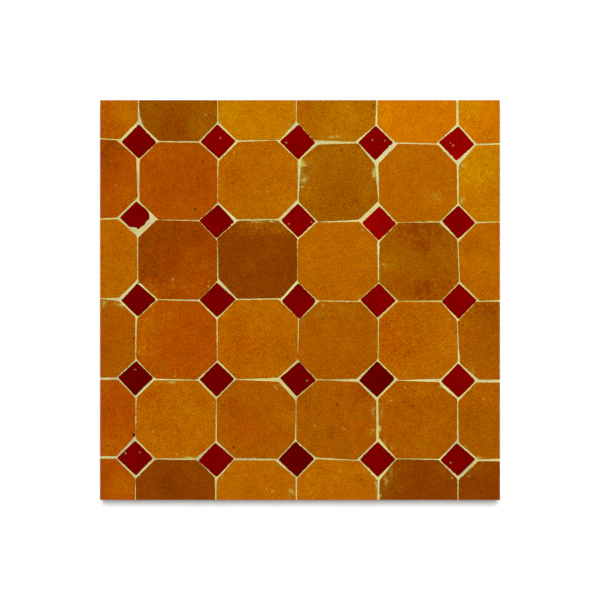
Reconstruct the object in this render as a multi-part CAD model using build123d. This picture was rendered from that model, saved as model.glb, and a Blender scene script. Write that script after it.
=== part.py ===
from build123d import *
import os

os.makedirs("parts", exist_ok=True)

# A square panel of zellige: glazed terracotta octagons with small red square dots (cabochons)
# between their cut corners. Every piece was chiselled by hand, so no two outlines are alike, and
# all of them are bedded in one cast of mortar, which is the back of the panel and fills the
# joints. The panel was sawn square through the outer octagons, half way between two rows.
#
# Millimetres. +Z comes out of the glazed face, and the origin is the middle of the mortar's back.

PANEL = 300.0           # side of the square panel: five repeats of 60
THICK = 18.0            # back of the mortar to the glazed face
PIECE = 11.0            # thickness of a terracotta piece with its glaze
RECESS = 0.5            # the mortar in the joints lies this far below the glazed face
TAPER = 5.0             # degrees: a chiselled side falls back from the face
ARRIS = 0.4             # rolled edge of the glaze

BED = THICK - PIECE     # mortar under the pieces
GROUT_TOP = THICK - RECESS

# Outlines at the glazed face, clockwise from the upper left, X to the right and Y to the top of
# the pattern. Rows count from the top and columns from the left. Rows and columns 0 and 5 are the
# pieces that the saw went through: they are drawn 12 mm past the cut and trimmed to the panel.
OCTAGONS = {
    (0, 0): [(-162, 162), (-121.8, 162), (-121.6, 134.3), (-135, 120.7), (-162, 122)],
    (0, 1): [(-120.7, 162), (-62.3, 162), (-62.1, 133.2), (-75.9, 119.2), (-106.1, 119.3),
             (-117.1, 130.1), (-118.8, 134.2), (-120.2, 139), (-120.7, 144)],
    (0, 2): [(-61.6, 162), (-3, 162), (-3, 134), (-15.1, 120.2), (-47.7, 119.9),
             (-61.4, 134)],
    (0, 3): [(-2.2, 162), (57.6, 162), (56.4, 131.2), (41.3, 118.7), (10.5, 119.9),
             (-2.5, 134.1)],
    (0, 4): [(58.5, 162), (117.1, 162), (117.2, 131.7), (102.1, 117.4), (71.4, 118.4),
             (57.9, 131.2)],
    (0, 5): [(118.8, 162), (162, 162), (162, 118), (132.3, 117.4), (119.1, 131.9)],
    (1, 0): [(-162, 121), (-137.5, 119.9), (-122.9, 106.7), (-121.9, 77.1), (-137.4, 61.8),
             (-162, 61)],
    (1, 1): [(-106.7, 118.4), (-75.6, 118), (-62.1, 105.6), (-62, 72.4), (-76, 60.1),
             (-106.3, 60.3), (-120.5, 74.2), (-120.3, 105)],
    (1, 2): [(-46.4, 118.6), (-17.6, 119.7), (-1.7, 104.7), (-1.9, 75.6), (-16.4, 61),
             (-47.5, 60.5), (-61.6, 73.8), (-61.2, 103.9)],
    (1, 3): [(13.6, 116.6), (43.5, 117.5), (56.2, 101.7), (58.8, 74.2), (44.1, 60.2),
             (13.4, 58.7), (-1.1, 73.9), (1, 105.9)],
    (1, 4): [(73.5, 117.2), (103.5, 116.5), (117.5, 101.6), (118, 72), (105.1, 59.2),
             (72.6, 58.3), (59.4, 72.7), (58.8, 102.1)],
    (1, 5): [(132, 116.1), (162, 116.9), (162, 59.2), (132.6, 58.7), (119.1, 72.4),
             (119.2, 101.4)],
    (2, 0): [(-162, 59.9), (-136.6, 60.7), (-122.4, 47.6), (-122, 15.3), (-135.8, 1.7),
             (-162, 1.3)],
    (2, 1): [(-107.9, 59.9), (-75.9, 59.1), (-62.2, 44.5), (-62.1, 14.1), (-75.6, 0.4),
             (-106.7, 0.6), (-121.3, 14.1), (-121.4, 46.7)],
    (2, 2): [(-46.5, 59.4), (-16.5, 59.8), (-2.3, 46.4), (-2.1, 14.9), (-14.3, 1.4),
             (-47.1, 0.9), (-61.2, 16.1), (-61.8, 46.5)],
    (2, 3): [(12.8, 58.3), (44.4, 58.6), (58.1, 44.7), (58.5, 12.7), (43.3, -0.7),
             (13.2, -0.3), (-1.7, 13.9), (-1.7, 45)],
    (2, 4): [(73.4, 57.8), (104.4, 58.2), (117.9, 45.3), (119.3, 13.7), (106.1, -0.4),
             (73.7, -0.6), (59.3, 13.5), (59.6, 43.5)],
    (2, 5): [(132.3, 57.6), (162, 58.6), (162, 0.5), (134.9, -0.6), (120, 14),
             (118.9, 43.6)],
    (3, 0): [(-162, 2), (-136, -0.7), (-123.6, -12.7), (-123.6, -44.8), (-137.6, -58.1),
             (-162, -58)],
    (3, 1): [(-106.7, 0.1), (-76, -1), (-62.6, -14.6), (-62.4, -45.7), (-77.6, -59.7),
             (-108.9, -58.9), (-123, -44), (-122.2, -13.9)],
    (3, 2): [(-47.8, 0.1), (-16.5, 0.5), (-1.6, -13.9), (-1.8, -44.6), (-16.5, -58.3),
             (-47.4, -59.4), (-61.9, -44.9), (-61.8, -14.4)],
    (3, 3): [(14.5, -1), (45.3, -1.4), (58.4, -14.9), (58.3, -44.6), (42.2, -59.3),
             (12.7, -59.6), (-1.4, -44.8), (-0.7, -15.2)],
    (3, 4): [(73.3, -1.2), (105.6, -1.4), (117.7, -15), (118.5, -46.1), (105.7, -58.9),
             (73.9, -60.1), (58.9, -45), (59.4, -14.2)],
    (3, 5): [(132.2, -1.4), (162, -1.2), (162, -59.4), (134.3, -59.8), (120, -47.5),
             (118.2, -16.4)],
    (4, 0): [(-162, -60.2), (-136.6, -59.8), (-123.4, -73.5), (-123.6, -101.9),
             (-137.5, -117), (-162, -117.2)],
    (4, 1): [(-109.1, -60.2), (-76.6, -60.5), (-62.9, -74.7), (-63.5, -106.2),
             (-78.1, -118.6), (-108.4, -118.9), (-123.2, -103.9), (-122.6, -73.3)],
    (4, 2): [(-48.5, -59.9), (-15.9, -61.3), (-3, -75.8), (-3.9, -105.4), (-16.9, -119.1),
             (-48.7, -118.6), (-62.4, -105.9), (-62.4, -74.3)],
    (4, 3): [(13.2, -60), (43.6, -61.5), (57.2, -75.4), (57.1, -105.8), (42.2, -119.9),
             (12, -118.1), (-2.8, -105.4), (-2.5, -73.7)],
    (4, 4): [(72.2, -60.6), (104.3, -61.6), (105.8, -64.6), (117.9, -74.5), (117.8, -105.1),
             (104.1, -119.2), (72.3, -118.8), (59.2, -103.5), (58.8, -74.1)],
    (4, 5): [(132.2, -61.8), (162, -62.3), (162, -118.4), (134, -119.5), (119.1, -106.6),
             (118.7, -76.1)],
    (5, 0): [(-162, -118.9), (-137.9, -119.1), (-123.6, -133.7), (-124.2, -162),
             (-162, -162)],
    (5, 1): [(-108.6, -119.7), (-77.6, -120.1), (-64, -133), (-63.6, -162), (-123, -162),
             (-123.2, -134)],
    (5, 2): [(-49.3, -120.2), (-18.7, -120.4), (-3.5, -133.2), (-3, -162), (-62.8, -162),
             (-62.3, -134.8)],
    (5, 3): [(12.2, -119.5), (44.6, -120.7), (58.4, -135.8), (57.2, -162), (-2.2, -162),
             (-2.2, -134.1)],
    (5, 4): [(72.4, -119.4), (104, -120.1), (118, -134.3), (118, -162), (59.5, -162),
             (59.7, -135.5)],
    (5, 5): [(133.7, -120.9), (162, -121.4), (162, -162), (119, -162), (119.1, -134.9)],
}

# The small squares, from their top corner. The one in row 1, column 0 is badly chipped along its
# lower right side, and a few others have lost a tip.
CABOCHONS = {
    (0, 0): [(-120.9, 132), (-107.6, 118.2), (-120.8, 105.8), (-133.9, 118.5)],
    (0, 1): [(-62.1, 131.9), (-48.1, 119.2), (-60.8, 105.9), (-74.8, 118.6)],
    (0, 2): [(-0.9, 131.7), (11.5, 118.2), (-1.4, 105.1), (-15.2, 119)],
    (0, 3): [(56.7, 130.9), (70, 118.1), (56.4, 104.6), (43.6, 118.2)],
    (0, 4): [(118.9, 130.4), (130.9, 116.6), (117.4, 104.4), (103.9, 118.4)],
    (1, 0): [(-122.7, 74.1), (-118.1, 70.1), (-115.3, 67.9), (-113.5, 65.4), (-112.7, 62.8),
             (-113.1, 60.4), (-116.6, 56.4), (-120.9, 52.9), (-123.2, 54.6), (-127.7, 54.6),
             (-135.2, 61.8)],
    (1, 1): [(-61.5, 71.7), (-50.6, 60.3), (-49.8, 58.5), (-50.7, 56.7), (-62.8, 46.2),
             (-75.8, 59.6)],
    (1, 2): [(-1.5, 72.6), (11.8, 59.1), (-1.3, 46.7), (-14.2, 59.6)],
    (1, 3): [(59.6, 70.4), (72.3, 57.3), (59.1, 44.3), (46.3, 57.8)],
    (1, 4): [(119, 71), (131.7, 57.8), (118.6, 45.7), (106.1, 59.5)],
    (2, 0): [(-121.9, 12.6), (-107.8, 0.2), (-121.5, -12.7), (-134.2, -0.4)],
    (2, 1): [(-62.4, 13.1), (-48.2, 0.4), (-62, -13.1), (-75.6, -0.1)],
    (2, 2): [(-1.2, 12.8), (11.2, 0.5), (11.6, -1.2), (10, -3.6), (-0.4, -14.4),
             (-13.9, -0.9)],
    (2, 3): [(59.3, 12.7), (72, -0.5), (57.9, -13.5), (45.1, 0.3)],
    (2, 4): [(119.4, 12.4), (132.7, -0.3), (119.1, -14.5), (106.1, -1.1)],
    (3, 0): [(-122.9, -45.7), (-110, -58.4), (-123.8, -71.9), (-136.5, -58)],
    (3, 1): [(-62.3, -46.6), (-49.2, -59.1), (-62.4, -72.9), (-75.4, -59.7)],
    (3, 2): [(-0.6, -46.2), (12.2, -60.2), (-2.5, -72.5), (-15, -58.4)],
    (3, 3): [(57.9, -45.7), (70.2, -57.7), (70.8, -59), (70.4, -60.2), (57.8, -73),
             (44.2, -60.3)],
    (3, 4): [(118.7, -47.5), (131.7, -60.7), (119, -73.5), (105.7, -61)],
    (4, 0): [(-123.6, -105.4), (-110.1, -118.5), (-123.2, -131.7), (-137.3, -118.6)],
    (4, 1): [(-63.6, -107), (-49.5, -119.1), (-62.5, -133), (-76.4, -120.6)],
    (4, 2): [(-3.4, -106.1), (10.1, -118.2), (10.5, -119), (10.2, -119.8), (-2.2, -132.9),
             (-16.4, -120)],
    (4, 3): [(58.3, -106.2), (71.7, -119.6), (58.3, -132.9), (44.8, -119.7)],
    (4, 4): [(117.6, -107.2), (131.6, -119.5), (118.4, -132.3), (105.2, -120.3)],
}

panel = Pos(0, 0, THICK / 2) * Box(PANEL, PANEL, THICK)


def piece(outline):
    """One chiselled piece: its outline at the face, narrower at its back, the arris rolled."""
    face = Pos(0, 0, THICK) * make_face(Polyline(*outline, close=True))
    body = extrude(face, amount=PIECE, dir=(0, 0, -1), taper=TAPER)
    body = fillet(body.edges().group_by(Axis.Z)[-1], ARRIS)
    return body & panel


def node_name(row, col):
    """The node that holds the octagon at this place, whole, half or quarter."""
    last = 5
    if row in (0, last) and col in (0, last):
        return "quarter_octagons"
    if row == 0:
        return "half_octagon_top_%d" % col
    if row == last:
        return "half_octagon_bottom_%d" % col
    if col == 0:
        return "half_octagon_left_%d" % row
    if col == last:
        return "half_octagon_right_%d" % row
    return "octagon_r%d_c%d" % (row, col)


nodes = {}
for (row, col), outline in OCTAGONS.items():
    nodes.setdefault(node_name(row, col), []).extend(piece(outline).solids())
for (row, col), outline in CABOCHONS.items():
    nodes["cabochon_r%d_c%d" % (row, col)] = piece(outline).solids()

# One cast of mortar: a slab of the whole panel with a pocket for each piece. What stands between
# the pockets is the joints.
slab = Pos(0, 0, GROUT_TOP / 2) * Box(PANEL, PANEL, GROUT_TOP)
solids = [s for group in nodes.values() for s in group]
nodes["mortar_bed"] = (slab - solids).solids()

volume = {}
for name, group in nodes.items():
    shape = group[0] if len(group) == 1 else Compound(children=group)
    shape.label = name
    volume[name] = sum(s.volume for s in group)
    export_step(shape, "parts/%s.step" % name)

clay = sum(v for n, v in volume.items() if n != "mortar_bed")
print("nodes", len(nodes), "solids", sum(len(g) for g in nodes.values()))
print("terracotta %.0f cm3, mortar %.0f cm3" % (clay / 1000, volume["mortar_bed"] / 1000))
print("mass at 1900 and 2000 kg/m3: %.2f kg" % (clay * 1.9e-6 + volume["mortar_bed"] * 2.0e-6))
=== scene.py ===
import math

import bpy
import numpy as np
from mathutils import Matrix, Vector
from mathutils.geometry import delaunay_2d_cdt
from mathutils.kdtree import KDTree


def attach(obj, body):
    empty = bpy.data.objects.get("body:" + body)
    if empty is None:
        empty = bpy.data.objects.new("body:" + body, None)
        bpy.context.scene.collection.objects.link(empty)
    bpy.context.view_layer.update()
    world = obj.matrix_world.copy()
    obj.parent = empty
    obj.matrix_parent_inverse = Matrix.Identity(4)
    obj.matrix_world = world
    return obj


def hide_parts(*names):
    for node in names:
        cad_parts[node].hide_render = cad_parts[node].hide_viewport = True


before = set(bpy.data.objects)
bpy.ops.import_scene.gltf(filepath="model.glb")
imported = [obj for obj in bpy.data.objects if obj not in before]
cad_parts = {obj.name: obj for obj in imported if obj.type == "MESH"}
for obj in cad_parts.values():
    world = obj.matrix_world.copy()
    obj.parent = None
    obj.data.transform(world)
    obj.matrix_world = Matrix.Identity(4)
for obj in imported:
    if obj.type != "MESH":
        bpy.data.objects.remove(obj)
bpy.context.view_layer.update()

# A square panel of hand-chiselled zellige. Every length below is in millimetres, in the frame's
# own axes, and is turned into metres when a mesh is made.
HALF = 150.0                            # the saw cut the panel at this distance from its middle
TOP = 18.0                              # glazed face
BACK = 7.0                              # back of a terracotta piece, bedded in the mortar
SLOPE = math.tan(math.radians(5.0))     # the chiselled sides fall back from the face
STEP = 0.62                             # distance between the points of an outline
EDGE_W, EDGE_H = 0.55, 0.34             # width and drop of the rolled glaze edge

# Outlines at the glazed face, clockwise, as they were cut: rows from the top, columns from the
# left. Rows and columns 0 and 5 run 12 mm past the saw cut.
OCTAGONS = {
    (0, 0): [(-162, 162), (-121.8, 162), (-121.6, 134.3), (-135, 120.7), (-162, 122)],
    (0, 1): [(-120.7, 162), (-62.3, 162), (-62.1, 133.2), (-75.9, 119.2), (-106.1, 119.3),
             (-117.1, 130.1), (-118.8, 134.2), (-120.2, 139), (-120.7, 144)],
    (0, 2): [(-61.6, 162), (-3, 162), (-3, 134), (-15.1, 120.2), (-47.7, 119.9),
             (-61.4, 134)],
    (0, 3): [(-2.2, 162), (57.6, 162), (56.4, 131.2), (41.3, 118.7), (10.5, 119.9),
             (-2.5, 134.1)],
    (0, 4): [(58.5, 162), (117.1, 162), (117.2, 131.7), (102.1, 117.4), (71.4, 118.4),
             (57.9, 131.2)],
    (0, 5): [(118.8, 162), (162, 162), (162, 118), (132.3, 117.4), (119.1, 131.9)],
    (1, 0): [(-162, 121), (-137.5, 119.9), (-122.9, 106.7), (-121.9, 77.1), (-137.4, 61.8),
             (-162, 61)],
    (1, 1): [(-106.7, 118.4), (-75.6, 118), (-62.1, 105.6), (-62, 72.4), (-76, 60.1),
             (-106.3, 60.3), (-120.5, 74.2), (-120.3, 105)],
    (1, 2): [(-46.4, 118.6), (-17.6, 119.7), (-1.7, 104.7), (-1.9, 75.6), (-16.4, 61),
             (-47.5, 60.5), (-61.6, 73.8), (-61.2, 103.9)],
    (1, 3): [(13.6, 116.6), (43.5, 117.5), (56.2, 101.7), (58.8, 74.2), (44.1, 60.2),
             (13.4, 58.7), (-1.1, 73.9), (1, 105.9)],
    (1, 4): [(73.5, 117.2), (103.5, 116.5), (117.5, 101.6), (118, 72), (105.1, 59.2),
             (72.6, 58.3), (59.4, 72.7), (58.8, 102.1)],
    (1, 5): [(132, 116.1), (162, 116.9), (162, 59.2), (132.6, 58.7), (119.1, 72.4),
             (119.2, 101.4)],
    (2, 0): [(-162, 59.9), (-136.6, 60.7), (-122.4, 47.6), (-122, 15.3), (-135.8, 1.7),
             (-162, 1.3)],
    (2, 1): [(-107.9, 59.9), (-75.9, 59.1), (-62.2, 44.5), (-62.1, 14.1), (-75.6, 0.4),
             (-106.7, 0.6), (-121.3, 14.1), (-121.4, 46.7)],
    (2, 2): [(-46.5, 59.4), (-16.5, 59.8), (-2.3, 46.4), (-2.1, 14.9), (-14.3, 1.4),
             (-47.1, 0.9), (-61.2, 16.1), (-61.8, 46.5)],
    (2, 3): [(12.8, 58.3), (44.4, 58.6), (58.1, 44.7), (58.5, 12.7), (43.3, -0.7),
             (13.2, -0.3), (-1.7, 13.9), (-1.7, 45)],
    (2, 4): [(73.4, 57.8), (104.4, 58.2), (117.9, 45.3), (119.3, 13.7), (106.1, -0.4),
             (73.7, -0.6), (59.3, 13.5), (59.6, 43.5)],
    (2, 5): [(132.3, 57.6), (162, 58.6), (162, 0.5), (134.9, -0.6), (120, 14),
             (118.9, 43.6)],
    (3, 0): [(-162, 2), (-136, -0.7), (-123.6, -12.7), (-123.6, -44.8), (-137.6, -58.1),
             (-162, -58)],
    (3, 1): [(-106.7, 0.1), (-76, -1), (-62.6, -14.6), (-62.4, -45.7), (-77.6, -59.7),
             (-108.9, -58.9), (-123, -44), (-122.2, -13.9)],
    (3, 2): [(-47.8, 0.1), (-16.5, 0.5), (-1.6, -13.9), (-1.8, -44.6), (-16.5, -58.3),
             (-47.4, -59.4), (-61.9, -44.9), (-61.8, -14.4)],
    (3, 3): [(14.5, -1), (45.3, -1.4), (58.4, -14.9), (58.3, -44.6), (42.2, -59.3),
             (12.7, -59.6), (-1.4, -44.8), (-0.7, -15.2)],
    (3, 4): [(73.3, -1.2), (105.6, -1.4), (117.7, -15), (118.5, -46.1), (105.7, -58.9),
             (73.9, -60.1), (58.9, -45), (59.4, -14.2)],
    (3, 5): [(132.2, -1.4), (162, -1.2), (162, -59.4), (134.3, -59.8), (120, -47.5),
             (118.2, -16.4)],
    (4, 0): [(-162, -60.2), (-136.6, -59.8), (-123.4, -73.5), (-123.6, -101.9),
             (-137.5, -117), (-162, -117.2)],
    (4, 1): [(-109.1, -60.2), (-76.6, -60.5), (-62.9, -74.7), (-63.5, -106.2),
             (-78.1, -118.6), (-108.4, -118.9), (-123.2, -103.9), (-122.6, -73.3)],
    (4, 2): [(-48.5, -59.9), (-15.9, -61.3), (-3, -75.8), (-3.9, -105.4), (-16.9, -119.1),
             (-48.7, -118.6), (-62.4, -105.9), (-62.4, -74.3)],
    (4, 3): [(13.2, -60), (43.6, -61.5), (57.2, -75.4), (57.1, -105.8), (42.2, -119.9),
             (12, -118.1), (-2.8, -105.4), (-2.5, -73.7)],
    (4, 4): [(72.2, -60.6), (104.3, -61.6), (105.8, -64.6), (117.9, -74.5), (117.8, -105.1),
             (104.1, -119.2), (72.3, -118.8), (59.2, -103.5), (58.8, -74.1)],
    (4, 5): [(132.2, -61.8), (162, -62.3), (162, -118.4), (134, -119.5), (119.1, -106.6),
             (118.7, -76.1)],
    (5, 0): [(-162, -118.9), (-137.9, -119.1), (-123.6, -133.7), (-124.2, -162),
             (-162, -162)],
    (5, 1): [(-108.6, -119.7), (-77.6, -120.1), (-64, -133), (-63.6, -162), (-123, -162),
             (-123.2, -134)],
    (5, 2): [(-49.3, -120.2), (-18.7, -120.4), (-3.5, -133.2), (-3, -162), (-62.8, -162),
             (-62.3, -134.8)],
    (5, 3): [(12.2, -119.5), (44.6, -120.7), (58.4, -135.8), (57.2, -162), (-2.2, -162),
             (-2.2, -134.1)],
    (5, 4): [(72.4, -119.4), (104, -120.1), (118, -134.3), (118, -162), (59.5, -162),
             (59.7, -135.5)],
    (5, 5): [(133.7, -120.9), (162, -121.4), (162, -162), (119, -162), (119.1, -134.9)],
}

CABOCHONS = {
    (0, 0): [(-120.9, 132), (-107.6, 118.2), (-120.8, 105.8), (-133.9, 118.5)],
    (0, 1): [(-62.1, 131.9), (-48.1, 119.2), (-60.8, 105.9), (-74.8, 118.6)],
    (0, 2): [(-0.9, 131.7), (11.5, 118.2), (-1.4, 105.1), (-15.2, 119)],
    (0, 3): [(56.7, 130.9), (70, 118.1), (56.4, 104.6), (43.6, 118.2)],
    (0, 4): [(118.9, 130.4), (130.9, 116.6), (117.4, 104.4), (103.9, 118.4)],
    (1, 0): [(-122.7, 74.1), (-118.1, 70.1), (-115.3, 67.9), (-113.5, 65.4), (-112.7, 62.8),
             (-113.1, 60.4), (-116.6, 56.4), (-120.9, 52.9), (-123.2, 54.6), (-127.7, 54.6),
             (-135.2, 61.8)],
    (1, 1): [(-61.5, 71.7), (-50.6, 60.3), (-49.8, 58.5), (-50.7, 56.7), (-62.8, 46.2),
             (-75.8, 59.6)],
    (1, 2): [(-1.5, 72.6), (11.8, 59.1), (-1.3, 46.7), (-14.2, 59.6)],
    (1, 3): [(59.6, 70.4), (72.3, 57.3), (59.1, 44.3), (46.3, 57.8)],
    (1, 4): [(119, 71), (131.7, 57.8), (118.6, 45.7), (106.1, 59.5)],
    (2, 0): [(-121.9, 12.6), (-107.8, 0.2), (-121.5, -12.7), (-134.2, -0.4)],
    (2, 1): [(-62.4, 13.1), (-48.2, 0.4), (-62, -13.1), (-75.6, -0.1)],
    (2, 2): [(-1.2, 12.8), (11.2, 0.5), (11.6, -1.2), (10, -3.6), (-0.4, -14.4),
             (-13.9, -0.9)],
    (2, 3): [(59.3, 12.7), (72, -0.5), (57.9, -13.5), (45.1, 0.3)],
    (2, 4): [(119.4, 12.4), (132.7, -0.3), (119.1, -14.5), (106.1, -1.1)],
    (3, 0): [(-122.9, -45.7), (-110, -58.4), (-123.8, -71.9), (-136.5, -58)],
    (3, 1): [(-62.3, -46.6), (-49.2, -59.1), (-62.4, -72.9), (-75.4, -59.7)],
    (3, 2): [(-0.6, -46.2), (12.2, -60.2), (-2.5, -72.5), (-15, -58.4)],
    (3, 3): [(57.9, -45.7), (70.2, -57.7), (70.8, -59), (70.4, -60.2), (57.8, -73),
             (44.2, -60.3)],
    (3, 4): [(118.7, -47.5), (131.7, -60.7), (119, -73.5), (105.7, -61)],
    (4, 0): [(-123.6, -105.4), (-110.1, -118.5), (-123.2, -131.7), (-137.3, -118.6)],
    (4, 1): [(-63.6, -107), (-49.5, -119.1), (-62.5, -133), (-76.4, -120.6)],
    (4, 2): [(-3.4, -106.1), (10.1, -118.2), (10.5, -119), (10.2, -119.8), (-2.2, -132.9),
             (-16.4, -120)],
    (4, 3): [(58.3, -106.2), (71.7, -119.6), (58.3, -132.9), (44.8, -119.7)],
    (4, 4): [(117.6, -107.2), (131.6, -119.5), (118.4, -132.3), (105.2, -120.3)],
}

# The glazes by name, as sRGB. The iron glaze runs from pale gold where it is thin to nearly
# black-brown where it pooled, and the small squares are a copper red.
GLAZES = {
    "gold": (207, 141, 0), "orange": (212, 118, 0), "honey": (197, 120, 0),
    "amber": (185, 101, 0), "ochre": (178, 106, 0), "tan": (172, 90, 0),
    "ember": (177, 79, 0), "russet": (162, 69, 0), "rust": (147, 60, 0),
    "olive": (163, 92, 0), "bark": (151, 80, 0), "umber": (139, 63, 0), "soot": (124, 52, 0),
    "scarlet": (154, 2, 0), "crimson": (143, 1, 0), "carmine": (133, 0, 0),
    "oxblood": (124, 0, 0), "wine": (113, 0, 0), "garnet": (101, 0, 0),
}

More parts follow.
